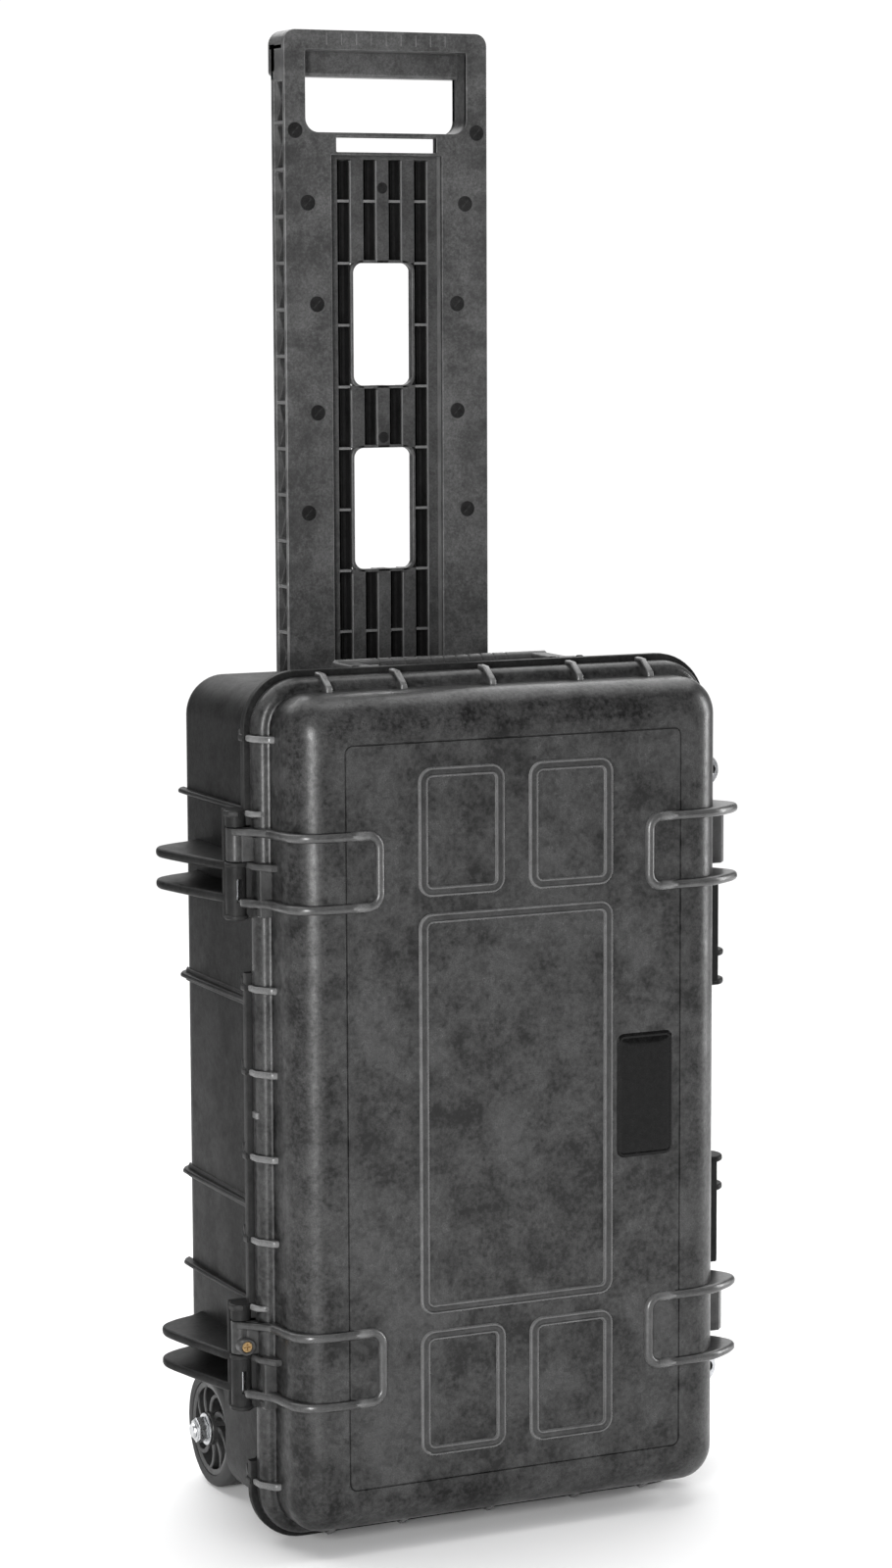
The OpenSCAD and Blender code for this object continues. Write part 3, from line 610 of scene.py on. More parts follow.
def lid_rings():
    """Skin of the lid: face, rounded edge, flared rim, gasket groove and hollow."""
    panel_line = ((-1.6, 4.2, 0), (-0.9, 4.6, 0.7), (0, 5, 0.7), (0.7, 5.4, 0))
    rings = [level_ring(PANEL_W + by, PANEL_H + by, r, y) for by, r, y in panel_line]
    rings += rounded_end(LID_W, LID_H, 8, CORNER_R, EDGE_R, 0, 1, 10)
    rings += [grown(LID, 0, RIM_FRONT - 1), grown(LID, 0.6, RIM_FRONT - 0.4), grown(LID, 2.4, RIM_FRONT)]
    for a in quarter(7):
        rings.append(grown(LID, 3 + (RIM_W - LID_W - 3) * sin(a), RIM_FRONT + 0.3 + 8.5 * (1 - cos(a))))
    rings += [grown(RIM, 0, LID_BACK - 0.6), grown(RIM, -1, LID_BACK)]
    for by, y in ((5, LID_BACK), (5, GROOVE_FLOOR), (-5, GROOVE_FLOOR), (-5, LID_BACK)):
        rings.append(grown(GASKET, by, y))
    rings.append(level_ring(LID_W - 6, LID_H - 6, CORNER_R - 3.5, LID_BACK))
    return rings + rounded_end(LID_W - 2 * LID_T, LID_H - 2 * LID_T, 5, 17, 20, LID_T, 1, 6)[::-1]


def raised_profile(width, height):
    """Low tube-like bead, round on top."""
    half = width / 2
    points = [(-half * cos(radians(a)), height * sin(radians(a))) for a in range(0, 181, 20)]
    return [(-half, -0.4)] + points + [(half, -0.4)]


def double_profile(width, height):
    """Flat bead with a raised line along each edge."""
    half = width / 2
    one_side = [(half, -0.4), (half - 0.3, height * 0.6), (half - 0.8, height), (half - 1.5, height),
                (half - 2.1, height * 0.62)]
    return [(-u, v) for u, v in one_side] + one_side[::-1]


def bead_frame(part, x, z, w, h):
    inner = BEAD_W / 2
    path = [(x + u, 0, z + v) for u, v in round_rect(w - 2 * inner, h - 2 * inner, 6, 10)]
    part.sweep(path, double_profile(BEAD_W, BEAD_H), (0, -1, 0), closed=True)


def corner_rib(part, side, middle):
    """C-shaped rib on the face: two arms and an upright with round corners."""
    r = 8
    top, bottom = middle + 22, middle - 22
    path = [(side * 112, 0, top)]
    path += [(side * (RIB_X + r - r * sin(a)), 0, top - r + r * cos(a)) for a in quarter(8)]
    path += [(side * (RIB_X + r - r * cos(a)), 0, bottom + r - r * sin(a)) for a in quarter(8)]
    path.append((side * 112, 0, bottom))
    part.sweep(path, raised_profile(6.0, RIB_H - 0.05), (0, -1, 0))


# outlines across the lid's right wall, (x, y): they stop inside the wall and clear of the gasket
MID_WALL = 146.3
SEAL_SIDE = 155.2
ROUND_SEAL = [(SEAL_SIDE, LID_BACK), (SEAL_SIDE, 44), (MID_WALL, 44)]
IN_WALL = [(124 + 22.3 * cos(a), 24 - 22.3 * sin(a)) for a in quarter(6)] + [(104, 1.7)]
HINGE_ARM = smooth_line([(106, -2.8), (122, -2.76), (139, -0.2), (148.4, 8), (151.4, 19), (153.4, 32), (158, 41),
                         (165, 48.6)]) + [(165, LID_BACK)] + ROUND_SEAL + IN_WALL
LATCH_ARM = smooth_line([(106, -2.8), (122, -2.76), (141, -0.4), (155, 7), (163.6, 14), (166.6, 20.5), (165.4, 27),
                         (161, 35), (155, 42.6)]) + [(149, 44), (MID_WALL, 44)] + IN_WALL
HINGE_LUG = [(MID_WALL, 41), (151.4, 40.8), (154.4, 40.6), (159.4, 45), (160.6, LID_BACK)] + ROUND_SEAL
LID_LUG = [(MID_WALL, 32.4), (150.4, 32.4), (152.4, 34), (158.6, 43), (159.2, LID_BACK)] + ROUND_SEAL


def add_lugs(part, lug, bevel, lift, reach, end_bevel):
    """Lugs all round one shell. Those at the top and bottom end at a reach from the middle."""
    for z in SIDE_LUGS:
        part.plate([mirrored(lug)], LUG_T, "z", z, bevel)
    for z in LATCH_LUGS:
        part.plate([lug], LUG_T, "z", z, bevel)
    for x in END_LUGS:
        for sz in (-1, 1):
            part.plate([[(y, sz * min(u + lift, reach)) for u, y in lug]], LUG_T, "x", x, end_bevel)


def build_lid():
    """Lid shell, its face ribs, lugs and hinge knuckles."""
    body = Part().loft(lid_rings())
    body.done("lid_body", "lid", "shell_black", SHELL, "lid_shell")

    ribs = Part()
    bead_frame(ribs, 0, 0, FRAME_W, FRAME_H)
    for sx in (-1, 1):
        for sz in (-1, 1):
            bead_frame(ribs, sx * SMALL_X, sz * SMALL_Z, SMALL_W, SMALL_H)
            corner_rib(ribs, sx, sz * LATCH_Z)
    for sz in (-1, 1):
        for z in ARM_Z:
            ribs.plate([mirrored(HINGE_ARM)], 5.8, "z", sz * z, 2.6, 4)
            ribs.plate([LATCH_ARM], 5.8, "z", sz * z, 2.6, 4)
    ribs.done("lid_ribs", "lid", "shell_black", LIT_RIB_PLASTIC)

    lugs = Part()
    add_lugs(lugs, LID_LUG, 1.6, (LID_H - LID_W) / 2, RIM_H, 1.4)
    for top in HINGE_TOPS:
        lugs.plate([mirrored(HINGE_LUG)], 4.4, "z", top - 2.4, 1.8)
    lugs.box(-157.5, -SEAL_SIDE, 44, LID_BACK, -2.2, 2.2, 0.9)
    for sz in (-1, 1):
        lugs.plate([ear_tab(sz, SEAL_SIDE), disc(161.5, sz * TAB_Z, 4)], 4.5, "y", LID_BACK - 2.25, 0.8)
    lugs.done("lid_lugs", "lid", "shell_black", LIT_RIB_PLASTIC)

    knuckles = Part()
    for top in HINGE_TOPS:
        low = top - 32
        knuckles.lathe(rod_profile(21, BARREL_R, 0.9), upright(HINGE_X, HINGE_Y, low))
        knuckles.plate([[(-150, 28), (-157, 38), (HINGE_X - 4.6, 50), (HINGE_X - 3, 53), (HINGE_X + 6, LID_BACK)]
                        + mirrored(ROUND_SEAL)], 4.6, "z", top - 11 - 2.3, 1.6)
        knuckles.box(HINGE_X + 1, -SEAL_SIDE, 47.5, LID_BACK, low, top - 11, 1.2)
        knuckles.box(-156, -147.6, 38, 44, top - HINGE_LEN + 2, low, 1.0)
        knuckles.plate([[(-MID_WALL, 30), (-152, 30), (-159, 42), (-160.4, LID_BACK)] + mirrored(ROUND_SEAL)], LUG_T,
                       "z", top - 34.6, 1.6)
    boss_z = HINGE_TOPS[1] - 26
    knuckles.ring([(3.3, 5), (3.3, 10.4), (3.9, 11.2), (5, 11.2), (5.5, 10.4), (5.5, 5)],
                  towards_front(HINGE_X, HINGE_Y, boss_z), 32)
    knuckles.done("lid_knuckles", "lid", "shell_black", SHELL)


def ear_tab(side, inner):
    """Round tab for a padlock, cut off straight where it meets the rim."""
    return [(max(x, inner), z) for x, z in disc(157, side * TAB_Z, 10.5)]


def build_label():
    """Raised domed plate with a thin border, left blank."""
    (x0, _, z0), (x1, _, z1) = case_box("label_plate")
    x, z, w, h = (x0 + x1) / 2, (z0 + z1) / 2, x1 - x0, z1 - z0
    rings = []
    for inset, y in ((0, 1.2), (0, -0.2), (0.5, -0.75), (1.6, -1.0), (2.2, -0.9), (2.9, -0.7), (3.4, -0.85),
                     (5, -1.05), (9, -1.2)):
        rings.append([(x + u, y, z + v) for u, v in round_rect(w - 2 * inset, h - 2 * inset, max(5 - inset, 1.5))])
    Part().loft(rings).done("label_dome", "lid", "label_gloss", LABEL, "label_plate", sharp=50)


# ---- base ----

# outlines across the base's right wall, (x, y)
BASE_FIN = smooth_line([(147.6, 58), (158, 58), (166, 60), (172, 66), (177, 84), (182, 104), (186.4, 124), (187, 134),
                        (183, 143.6), (172, 151), (160, 156), (150, 163)]) + [(147.6, 163)]
BASE_LUG = [(148, BASE_FRONT), (161.4, BASE_FRONT), (161.8, 57.6), (158.6, 63), (151, 84), (148, 84)]
SIDE_RIB = [(147.6, 56), (152, 57), (153.4, 100), (155, 170), (154.8, 179), (152, 184), (147.6, 188)]
SIDE_BAND = [(147.6, 56), (150.8, 57), (151.4, 178), (149, 183), (147.6, 184)]


def base_outer():
    """Outside of the base: raised bead against the gasket, flange, walls and rounded back."""
    rings = [grown(GASKET, by, BASE_FRONT - y) for by, y in ((-2.4, 1.2), (2.4, 1.2), (2.4, 0))]
    rings += [grown(FLANGE, by, BASE_FRONT + y) for by, y in ((-1.6, 0), (-0.4, 0.3), (0, 1))]
    rings += [grown(FLANGE, by, FLANGE_BACK - y) for by, y in ((0, 1), (-0.4, 0.3), (-1.6, 0))]
    rings += [level_ring(BASE_W + 2.5, BASE_H + 2.5, BASE_R + 1.2, FLANGE_BACK),
              level_ring(BASE_W + 0.7, BASE_H + 0.7, BASE_R + 0.3, FLANGE_BACK + 0.6),
              grown(BASE, 0, FLANGE_BACK + 2.4)]
    return rings + rounded_end(BASE_W, BASE_H, 10, BASE_R, BACK_R, BASE_BACK, -1, 9)[::-1]


def base_hollow():
    """Inside of the base."""
    w, h, r = BASE_W - 2 * BASE_T, BASE_H - 2 * BASE_T, BASE_R - BASE_T
    return [level_ring(w, h, r, BASE_FRONT - 5)] + rounded_end(w, h, 14, r, 8, HOLLOW_BACK, -1, 5)[::-1]


def well_tool(side, grow):
    """Block that cuts a wheel well, or leaves its walls standing when it is grown."""
    inner = side * (WELL_X - 1.25 * grow)
    x0, x1 = sorted((inner, side * 200))
    return Part().box(x0, x1, WELL_Y - grow, 230, -330, WELL_TOP + grow, 9, 5)


def build_base():
    """Base shell with wheel wells and trolley channel, and its ribs."""
    hollow = Part().loft(base_hollow())
    hollow.cut(well_tool(-1, BASE_T), well_tool(1, BASE_T))
    shell = Part().loft(base_outer())
    channel = Part().box(-72.6, 72.6, CHANNEL_Y, 240, -232, 300, 0.4)
    cuts = [hollow, well_tool(-1, 0), well_tool(1, 0), channel]
    for top in HINGE_TOPS:
        cuts.append(Part().box(-170, -154, 40, FLANGE_BACK + 1.6, top - HINGE_LEN - 34, top - 2, 2.4, 3))
    shell.cut(*cuts)
    shell.done("base_body", "base", "shell_black", SHADED_BASE_PLASTIC, "base_shell")

    fittings = Part()
    add_lugs(fittings, BASE_LUG, 1.4, (BASE_H - BASE_W) / 2, FLANGE_H / 2, 0.8)
    for z in SIDE_RIBS:
        for flip in (list, mirrored):
            fittings.plate([flip(SIDE_RIB)], 3.2, "z", z, 1.3)
            if abs(z) < 100:
                fittings.plate([flip(SIDE_BAND)], 8.4, "z", z, 1.2)
    for top in HINGE_TOPS:
        for drop in (35.5, 55.5):
            fittings.plate([mirrored(BASE_FIN)], 6, "z", top - drop, 2.4)
    for sz in (-1, 1):
        for k in (-1, 1):
            fittings.plate([BASE_FIN], 6, "z", sz * LATCH_Z + k * 21.5, 2.4)
        low, high = (57, 130) if sz > 0 else (-130, -61.6)
        fittings.box(150, 172, BASE_FRONT, BASE_FRONT + 4.5, low, high, 1.2)
        fittings.plate([ear_tab(sz, 156.5), disc(161.5, sz * TAB_Z, 4)], 4.5, "y", BASE_FRONT + 2.25, 0.8)
    fittings.done("base_fins", "base", "shell_black", SHADED_BASE_PLASTIC)
    build_base_hinges()
    build_ears()
    build_rails()


def build_base_hinges():
    hinges = Part()
    for top in HINGE_TOPS:
        low = top - HINGE_LEN
        lower_top = top - 32.4
        hinges.plate([[(-150, BASE_FRONT + 0.4), (-157, BASE_FRONT + 0.4), (-161, 50.5), (-166, 48.4), (-171, 51),
                       (-172.2, 57), (-169, 64), (-150, 66)]], 4.4, "z", top - 2.4, 1.4)
        upper_web = [[(-150, BASE_FRONT + 0.6), (-160, BASE_FRONT + 0.6), (-170.6, 59), (-168.6, 64), (-150, 66)]]
        hinges.plate(upper_web, 9.6, "z", top - 5.6, 1.0)
        hinges.lathe(rod_profile(10.5, BARREL_R, 0.8), upright(HINGE_X, HINGE_Y, top - 10.6))
        barrel = Part().lathe(rod_profile(lower_top - low, BARREL_R, 0.8), upright(HINGE_X, HINGE_Y, low))
        slot = Part().box(HINGE_X - 1.8, HINGE_X + 1.8, 44, HINGE_Y, low + 11, low + 25.4, 0.5)
        bore = Part().lathe(rod_profile(80, 2.6, 0.1), upright(HINGE_X, HINGE_Y, low + 1.8), 32)
        barrel.cut(slot, bore)
        hinges.take(barrel.bm)
        for z in (low, lower_top - 2.8):
            hinges.ring(collar(3, BARREL_R + 1, z, z + 2.8, 0.6), upright(HINGE_X, HINGE_Y, 0), 40)
        hinges.plate(upper_web, lower_top - low, "z", (lower_top + low) / 2, 1.0)
        hinges.box(-170, -148, 63.4, 66.4, low, top, 1.0)
    hinges.done("base_hinges", "base", "shell_black", SHADED_BASE_PLASTIC)


def ear_outline(r, depth, front):
    """Ear round a pivot at the origin, with a foot that runs in to the wall."""
    arc = [(r * cos(radians(a)), r * sin(radians(a))) for a in range(-70, 100, 10)]
    return arc + [(-3, r + 2), (-depth, r + 6), (-depth, -front), (-2, -front)]


def build_ears():
    """Pairs of ears that hold the two carry handles."""
    ears = Part()
    gap, thick = 1, 4
    for side in (-1, 1):
        for k in (-1, 1):
            offset = side * GRIP_HALF + k * (GRIP_ARM / 2 + gap + thick / 2)
            outline = [(SIDE_GRIP_X + u, SIDE_GRIP_Y + v) for u, v in ear_outline(12.5, 20, 12)]
            ears.plate([outline], thick, "z", offset + SIDE_GRIP_Z, 1.3)
            outline = [(TOP_GRIP_Y + v, TOP_GRIP_Z + u) for u, v in ear_outline(5.3, 9, 14)]
            ears.plate([outline], thick, "x", offset, 1.0)
    ears.done("handle_ears", "base", "shell_black", SHADED_BASE_PLASTIC)


def build_rails():
    """Two rails that hold the trolley handle on the back wall, with a foot across."""
    rails = Part()
    inner = TROLLEY_HALF + 0.6
    outer = inner + 12
    rails.both_sides(inner, outer, BASE_BACK - 4, RAIL_BACK, -232, 208.8, 1.6, 3)
    rails.both_sides(inner, outer, BASE_BACK - 4, RAIL_BACK - 3.2, 208, 250, 1.2, 3)
    rails.both_sides(inner - 7, outer, TROLLEY_Y + TROLLEY_T + 0.8, RAIL_BACK, -232, 210.8, 1.2, 3)
    y0, y1 = BASE_BACK - 2, RAIL_BACK - 3
    for z in range(-200, 230, 40):
        rib = [(y0, z - 1.6), (y1, z - 1.6), (y1, z + 1.6), (y0, z + 1.6)]
        for side in (-1, 1):
            rails.plate([rib], 4, "x", side * (outer + 1), 1.0)
    rails.box(-outer, outer, BASE_BACK - 4, RAIL_BACK, -236, -231.8, 1.2, 3)
    for z in (-150, -75, 0, 75, 150):
        rails.box(-inner + 2, inner - 2, CHANNEL_Y - 1.5, CHANNEL_Y + 0.7, z - 1.5, z + 1.5, 0.6)
    rails.done("trolley_rails", "base", "shell_black", SHADED_BASE_PLASTIC)


# ---- latches and handles ----

def build_latches():
    """Lever and claw of each latch, on their pins."""
    for name, sz in (("upper", 1), ("lower", -1)):
        z = sz * LATCH_Z
        lever = Part()
        lever.lathe(rod_profile(LATCH_W, 4, 0.8), upright(LEVER_X, LEVER_Y, z - LATCH_W / 2))
        cheek = [(157, 75), (158.5, 71), (163, 69.6), (170, 74.6), (173, 79), (171, 85), (169, 100), (162, 100),
                 (158, 85)]
        for k in (-1, 1):
            lever.plate([cheek], 7, "z", z + k * 13.5, 1.2)
        tab = [(162, 89.4), (168.6, 87.4), (169, 104), (172, 110.4), (170.6, 113.5), (166, 111.4), (162, 105)]
        lever.plate([tab], LATCH_W, "z", z, 1.6)
        bore = Part().lathe(rod_profile(60, 2.55, 0.1), upright(LEVER_X, LEVER_Y, z - 30), 32)
        eye = Part().lathe(rod_profile(20.4, 4.8, 0.1), upright(CLAW_X, CLAW_Y, z - 10.2), 32)
        lever.cut(bore, eye)
        lever.done("latch_lever_%s_cover" % name, "lever_" + name, "trim_black", TRIM, "latch_lever_" + name)
        claw = Part()
        claw.ring(collar(2.08, 4.1, z - 9, z + 9, 0.5), upright(CLAW_X, CLAW_Y, 0), 32)
        claw.box(164.8, 168.8, 62, 76, z - 9, z + 9, 0.8)
        hook = [(164.8, 67), (164.8, 42), (157.3, 41.4), (157.3, 37.8), (165.2, 37.3), (168.8, 41), (168.8, 67)]
        claw.plate([hook], LATCH_W, "z", z, 0.9)
        for k in (-1, 1):
            claw.box(168.4, 169.4, 46, 64, z + k * 12 - 2, z + k * 12 + 2, 0.45)
        claw.done("latch_claw_%s_cover" % name, "claw_" + name, "trim_black", TRIM, "latch_claw_" + name)


def carry_handle(name, node, body, matrix, boss, bar):
    """Bail handle: two arms on pivots joined by a round grip with soft ribs."""
    part = Part()
    reach, pitch = 42, 9
    end = GRIP_HALF + GRIP_ARM / 2
    for side in (-1, 1):
        low = side * GRIP_HALF - GRIP_ARM / 2
        part.ring(collar(2.56, boss, low, low + GRIP_ARM, 0.8), matrix, 40)
        part.box(-boss + 1, boss - 1, 3.4, reach, low, low + GRIP_ARM, 2.2, 4, matrix)
    profile = [(bar - 1.5, -end), (bar, -end + 1.5)]
    for i in range(-5, 6):
        profile += [(bar, pitch * i - 1.2), (bar - 0.5, pitch * i), (bar, pitch * i + 1.2)]
    profile += [(bar, end - 1.5), (bar - 1.5, end)]
    part.lathe(profile, matrix @ Matrix.Translation((0, reach, 0)), 32)
    part.done(name, body, "trim_black", TRIM, node)


def build_carry_handles():
    side = upright(SIDE_GRIP_X, SIDE_GRIP_Y, SIDE_GRIP_Z)
    carry_handle("side_carry_handle", "side_handle", "side_grip", side, 6, 6)
    carry_handle("top_carry_handle", "top_handle", "top_grip", along_x(0, TOP_GRIP_Y, TOP_GRIP_Z, -1), 5, 5)


# ---- trolley handle ----

def slot_outline(half, z0, z1, r_low, r_high, steps=8):
    """Rectangle across the trolley handle, with its own corner radius below and above."""
    points = []
    corners = ((half, z1, r_high, 0), (-half, z1, r_high, 90), (-half, z0, r_low, 180), (half, z0, r_low, 270))
    for cx, cz, r, start in corners:
        x = cx - copysign(r, cx)
        z = cz - r if cz == z1 else cz + r
        for i in range(steps + 1):
            a = radians(start + 90 * i / steps)
            points.append((x + r * cos(a), z + r * sin(a)))
    return points


def window(z, grow=0):
    """Outline of a window whose lower edge is at z."""
    return slot_outline(WINDOW_HALF + grow, z - grow / 3, z + WINDOW_H + grow / 3, 6.5, 6.5)


def web_spans():
    """Heights where the web is whole, between the windows."""
    low_z, high_z = sorted(WINDOW_Z)
    return ((TROLLEY_BOTTOM, low_z), (low_z + WINDOW_H, high_z), (high_z + WINDOW_H, WEB_TOP))


def build_trolley():
    """One-piece pull-up handle: skins, hand slot, windows, ribbed web and trussed sides."""
    part = Part()
    y0, y1 = TROLLEY_Y, TROLLEY_Y + TROLLEY_T
    top, low = TROLLEY_TOP, TROLLEY_BOTTOM
    slot = slot_outline(SLOT_HALF, SLOT_Z0, SLOT_Z1, 9, 1.5)
    slit = slot_outline(SLIT_HALF, SLIT_Z0, SLIT_Z1, 0.8, 0.8)
    rim = slot_outline(TROLLEY_HALF, low, top, 0.5, 8)
    crown = [p for p in rim if p[1] > low + 10]
    front = crown + [(-TROLLEY_HALF, low), (-WEB_HALF, low), (-WEB_HALF, WEB_TOP), (WEB_HALF, WEB_TOP),
                     (WEB_HALF, low), (TROLLEY_HALF, low)]
    part.plate([front, slot, slit], 3.2, "y", y0 + 1.6, 0.7)
    wide = slot_outline(SLIT_HALF + 12, SLIT_Z0, SLIT_Z1, 0.8, 0.8)
    rear = slot_outline(TROLLEY_HALF, low, SLOT_Z1, 0.5, 0.5)
    rear_slot = slot_outline(SLOT_HALF, SLOT_Z0, SLOT_Z1 - 5, 9, 1.5)
    part.plate([rear, rear_slot, wide] + [window(z, 6.5) for z in WINDOW_Z], 4.6, "y", y1 - 2.3, 0.7)
    slot_rim = slot_outline(SLOT_HALF + 3, SLOT_Z0 - 2, SLOT_Z1 + 2, 10, 2)
    slit_rim = slot_outline(SLIT_HALF + 1.6, SLIT_Z0 - 2, SLIT_Z1 + 2, 1.2, 1.2)
    for hole, outline, depth in ((slot, slot_rim, TROLLEY_T - 1), (slit, slit_rim, RIM_DEPTH)):
        part.plate([outline, hole], depth, "y", y0 + 0.5 + depth / 2, 0.4)
    for z in WINDOW_Z:
        ring = slot_outline(WINDOW_HALF + 2, z - 2, z + WINDOW_H + 2, 8, 8)
        part.plate([ring, window(z)], RIM_DEPTH, "y", WEB_Y + RIM_DEPTH / 2, 0.5)
    part.both_sides(WEB_HALF, WEB_HALF + 1.8, y0 + 1, y1 - 1, low, WEB_TOP + 1, 0.4)
    build_grip(part, y0, top)
    web, shade_sheets = Part(), Part()
    build_web(part, web, y1)
    build_truss(part, web, y0, y1, low)
    part.box(-30, 30, y1 - 2, y1 + 2.6, low, 211.4, 0.8)
    ejector_marks(y0)
    part.done("trolley_frame", "trolley", "trim_black", SHAFT, "trolley_handle")
    web.done("trolley_web", "trolley", "trim_black", STRIP)
    # Painted shade: dark sheets behind the open sides and down each channel's floor, walls and middle rib.
    shade_sheets.both_sides(61.4, 63.6, y0 + 1, y1 - 1, low, SLOT_Z1, 0.3)
    for x0, x1 in CHANNELS:
        for z0, z1 in web_spans() if abs(x0 + x1) < 40 else [(TROLLEY_BOTTOM + 1, WEB_TOP - 2.5)]:
            shade_sheets.box(x0, x1, y1 - 5.4, y1 - 4.2, z0, z1 - 0.5, 0.2)
            for x in (x0 + 0.3, x1 - 0.3):
                shade_sheets.box(x - 0.5, x + 0.5, WEB_Y + 1.6, y1 - 4.4, z0, z1 - 0.5, 0.2)
            shade_sheets.box((x0 + x1) / 2 - 0.6, (x0 + x1) / 2 + 0.6, y1 - 7.4, y1 - 5, z0, z1 - 0.5, 0.3)
    shade_sheets.done("trolley_channel_shade", "trolley", "trim_black", SHADE_PLASTIC)


def build_grip(part, y0, top):
    """Padded top bar: a deeper block behind, and a ledge over the hand slot."""
    y2 = y0 + GRIP_T
    bar = slot_outline(TROLLEY_HALF, top - 29, top, 3, 9)
    part.plate([bar], y2 - y0 - 13.5, "y", (y2 + y0 + 13.5) / 2, 2.4)
    part.plate([slot_outline(TROLLEY_HALF, SLOT_Z1 - 0.4, top, 1, 8)], y2 - y0 - 4, "y", (y2 + y0) / 2, 1.8)
    for i in range(9):
        x = -42 + 10.5 * i
        part.box(x - 0.4, x + 0.4, y0 - 0.02, y0 + 1, top - 9.5, top - 2, 0.2)
    part.both_sides(58, TROLLEY_HALF, y0 + 2, y2 - 5, top - 33, top - 8, 1.6, 3)


CHANNELS = ((-13.5, -4.6), (4.6, 13.5), (-32, -22.9), (22.9, 32))


def build_web(part, web, y1):
    """Strips with a painted highlight down one edge of each (thin slivers of the paler shaft plastic), and the cross
    ribs of the sunk middle web.
    """
    strips = ((-4.6, 4.6), (13.5, 22.9), (-22.9, -13.5))
    for z0, z1 in web_spans():
        for x0, x1 in strips:
            web.box(x0, x1, WEB_Y, y1 - 2, z0, z1, 0.45)
            # Painted highlight: a thin sliver of the paler shaft plastic along the strip's left edge.
            part.box(x0 - 0.1, x0 + 0.5, WEB_Y - 0.1, WEB_Y + 4, z0 + 0.5, z1 - 3, 0.25)
    # Painted highlight: the same slivers on two more strip edges.
    for x in (-WEB_HALF, 32):
        part.box(x - 0.1, x + 0.5, WEB_Y - 0.1, WEB_Y + 4, TROLLEY_BOTTOM + 1, WEB_TOP - 3, 0.25)
    web.both_sides(32, WEB_HALF + 1, WEB_Y, y1 - 2, TROLLEY_BOTTOM, WEB_TOP, 0.45)
    web.box(-WEB_HALF, WEB_HALF, WEB_Y - 0.2, y1 - 2, WEB_TOP - 2.4, WEB_TOP + 2, 0.6)
    z = WEB_TOP - 29
    while z > TROLLEY_BOTTOM:
        part.both_sides(23.2, 33, WEB_Y + 0.9, y1 - 3, z - 0.9, z + 0.9, 0.4)
        if not any(w - 3 < z < w + WINDOW_H + 3 for w in WINDOW_Z):
            part.both_sides(4, 14, WEB_Y + 0.9, y1 - 3, z - 0.9, z + 0.9, 0.4)
        z -= WEB_PITCH


def build_truss(part, web, y0, y1, low):
    """Open sides of the shaft, with cross ribs and crossed stays."""
    count = int((TROLLEY_TOP - 29 - low) / TRUSS_PITCH)
    first = TROLLEY_TOP - 29
    reach = y1 - y0 - 6
    lean = atan2(reach, TRUSS_PITCH)
    for sx in (-1, 1):
        for i in range(count + 1):
            z = first - i * TRUSS_PITCH
            a, b = sorted((sx * 62, sx * (TROLLEY_HALF - 0.5)))
            part.box(a, b, y0 + 1, y1 - 1, z - 1.1, z + 1.1, 0.4)
            if i == count:
                continue
            for tilt in (-lean, lean):
                middle = Matrix.Translation((sx * 66, (y0 + y1) / 2, z - TRUSS_PITCH / 2))
                half = hypot(reach, TRUSS_PITCH) / 2
                web.box(-3.4, 3.4, -0.6, 0.6, -half, half, 0.3, 1, middle @ Matrix.Rotation(tilt, 4, "X"))


def ejector_marks(y0):
    """Round marks that the mould's ejector pins leave."""
    marks = Part()
    dome = [(0.4, 0.02), (2.6, 0.03), (4.3, 0.05), (4.7, 0.22), (5.1, 0.22), (5.4, -0.5)]
    for sx in (-1, 1):
        for x, drop in ((64.5, 64), (56, 110), (50, 175), (50, 245), (57, 310)):
            marks.lathe(dome, towards_front(sx * x, y0, TROLLEY_TOP - drop), 36)
    small = [(r * 0.72, h) for r, h in dome]
    for drop in (100, 262):
        marks.lathe(small, towards_front(0, WEB_Y, TROLLEY_TOP - drop), 30)
    marks.done("trolley_marks", "trolley", "trim_black", SHADED_BASE_PLASTIC, sharp=25)


def build_cover():
    """Strap across the rails that keeps the trolley handle in its channel."""
    (x0, y0, z0), (x1, y1, z1) = case_box("trolley_cover")
    x, z = (x0 + x1) / 2, (z0 + z1) / 2
    holes = [disc(sx * (x1 - 6), sz, 1.6, 24) for sx in (-1, 1) for sz in (z0 + 6, z1 - 6)]
    part = Part()
    rim = [(x + u, z + v) for u, v in round_rect(x1 - x0, z1 - z0, 3, 6)]
    part.plate([rim] + holes, y1 - y0, "y", (y0 + y1) / 2, 0.9)
    for k in (-1, 0, 1):
        part.box(x0 + 16, x1 - 16, y1 - 0.6, y1 + 0.5, z + 6 * k - 1, z + 6 * k + 1, 0.5)
    part.done("trolley_strap", "base", "trim_black", TRIM, "trolley_cover")
    screws = Part()
    for sx in (-1, 1):
        for sz in (z0 + 6, z1 - 6):
            place = Matrix.Translation((sx * (x1 - 6), y1, sz)) @ Matrix.Rotation(radians(-90), 4, "X")
            screw = Part().lathe([(1.5, -12), (1.5, -0.05), (3, -0.05), (3, 0.5), (2.7, 1.05), (2.1, 1.4), (1.2, 1.6),
                                  (0.3, 1.65)], place, 32)
            tools = [Part().box(-2, 2, -0.35, 0.35, 0.8, 3, 0.05, 1, place @ Matrix.Rotation(radians(a), 4, "Z"))
                     for a in (20, 110)]
            screw.cut(*tools)
            screws.take(screw.bm)
    screws.done("strap_screws", "base", "steel", STEEL, "trolley_cover_screws")


# ---- wheels ----

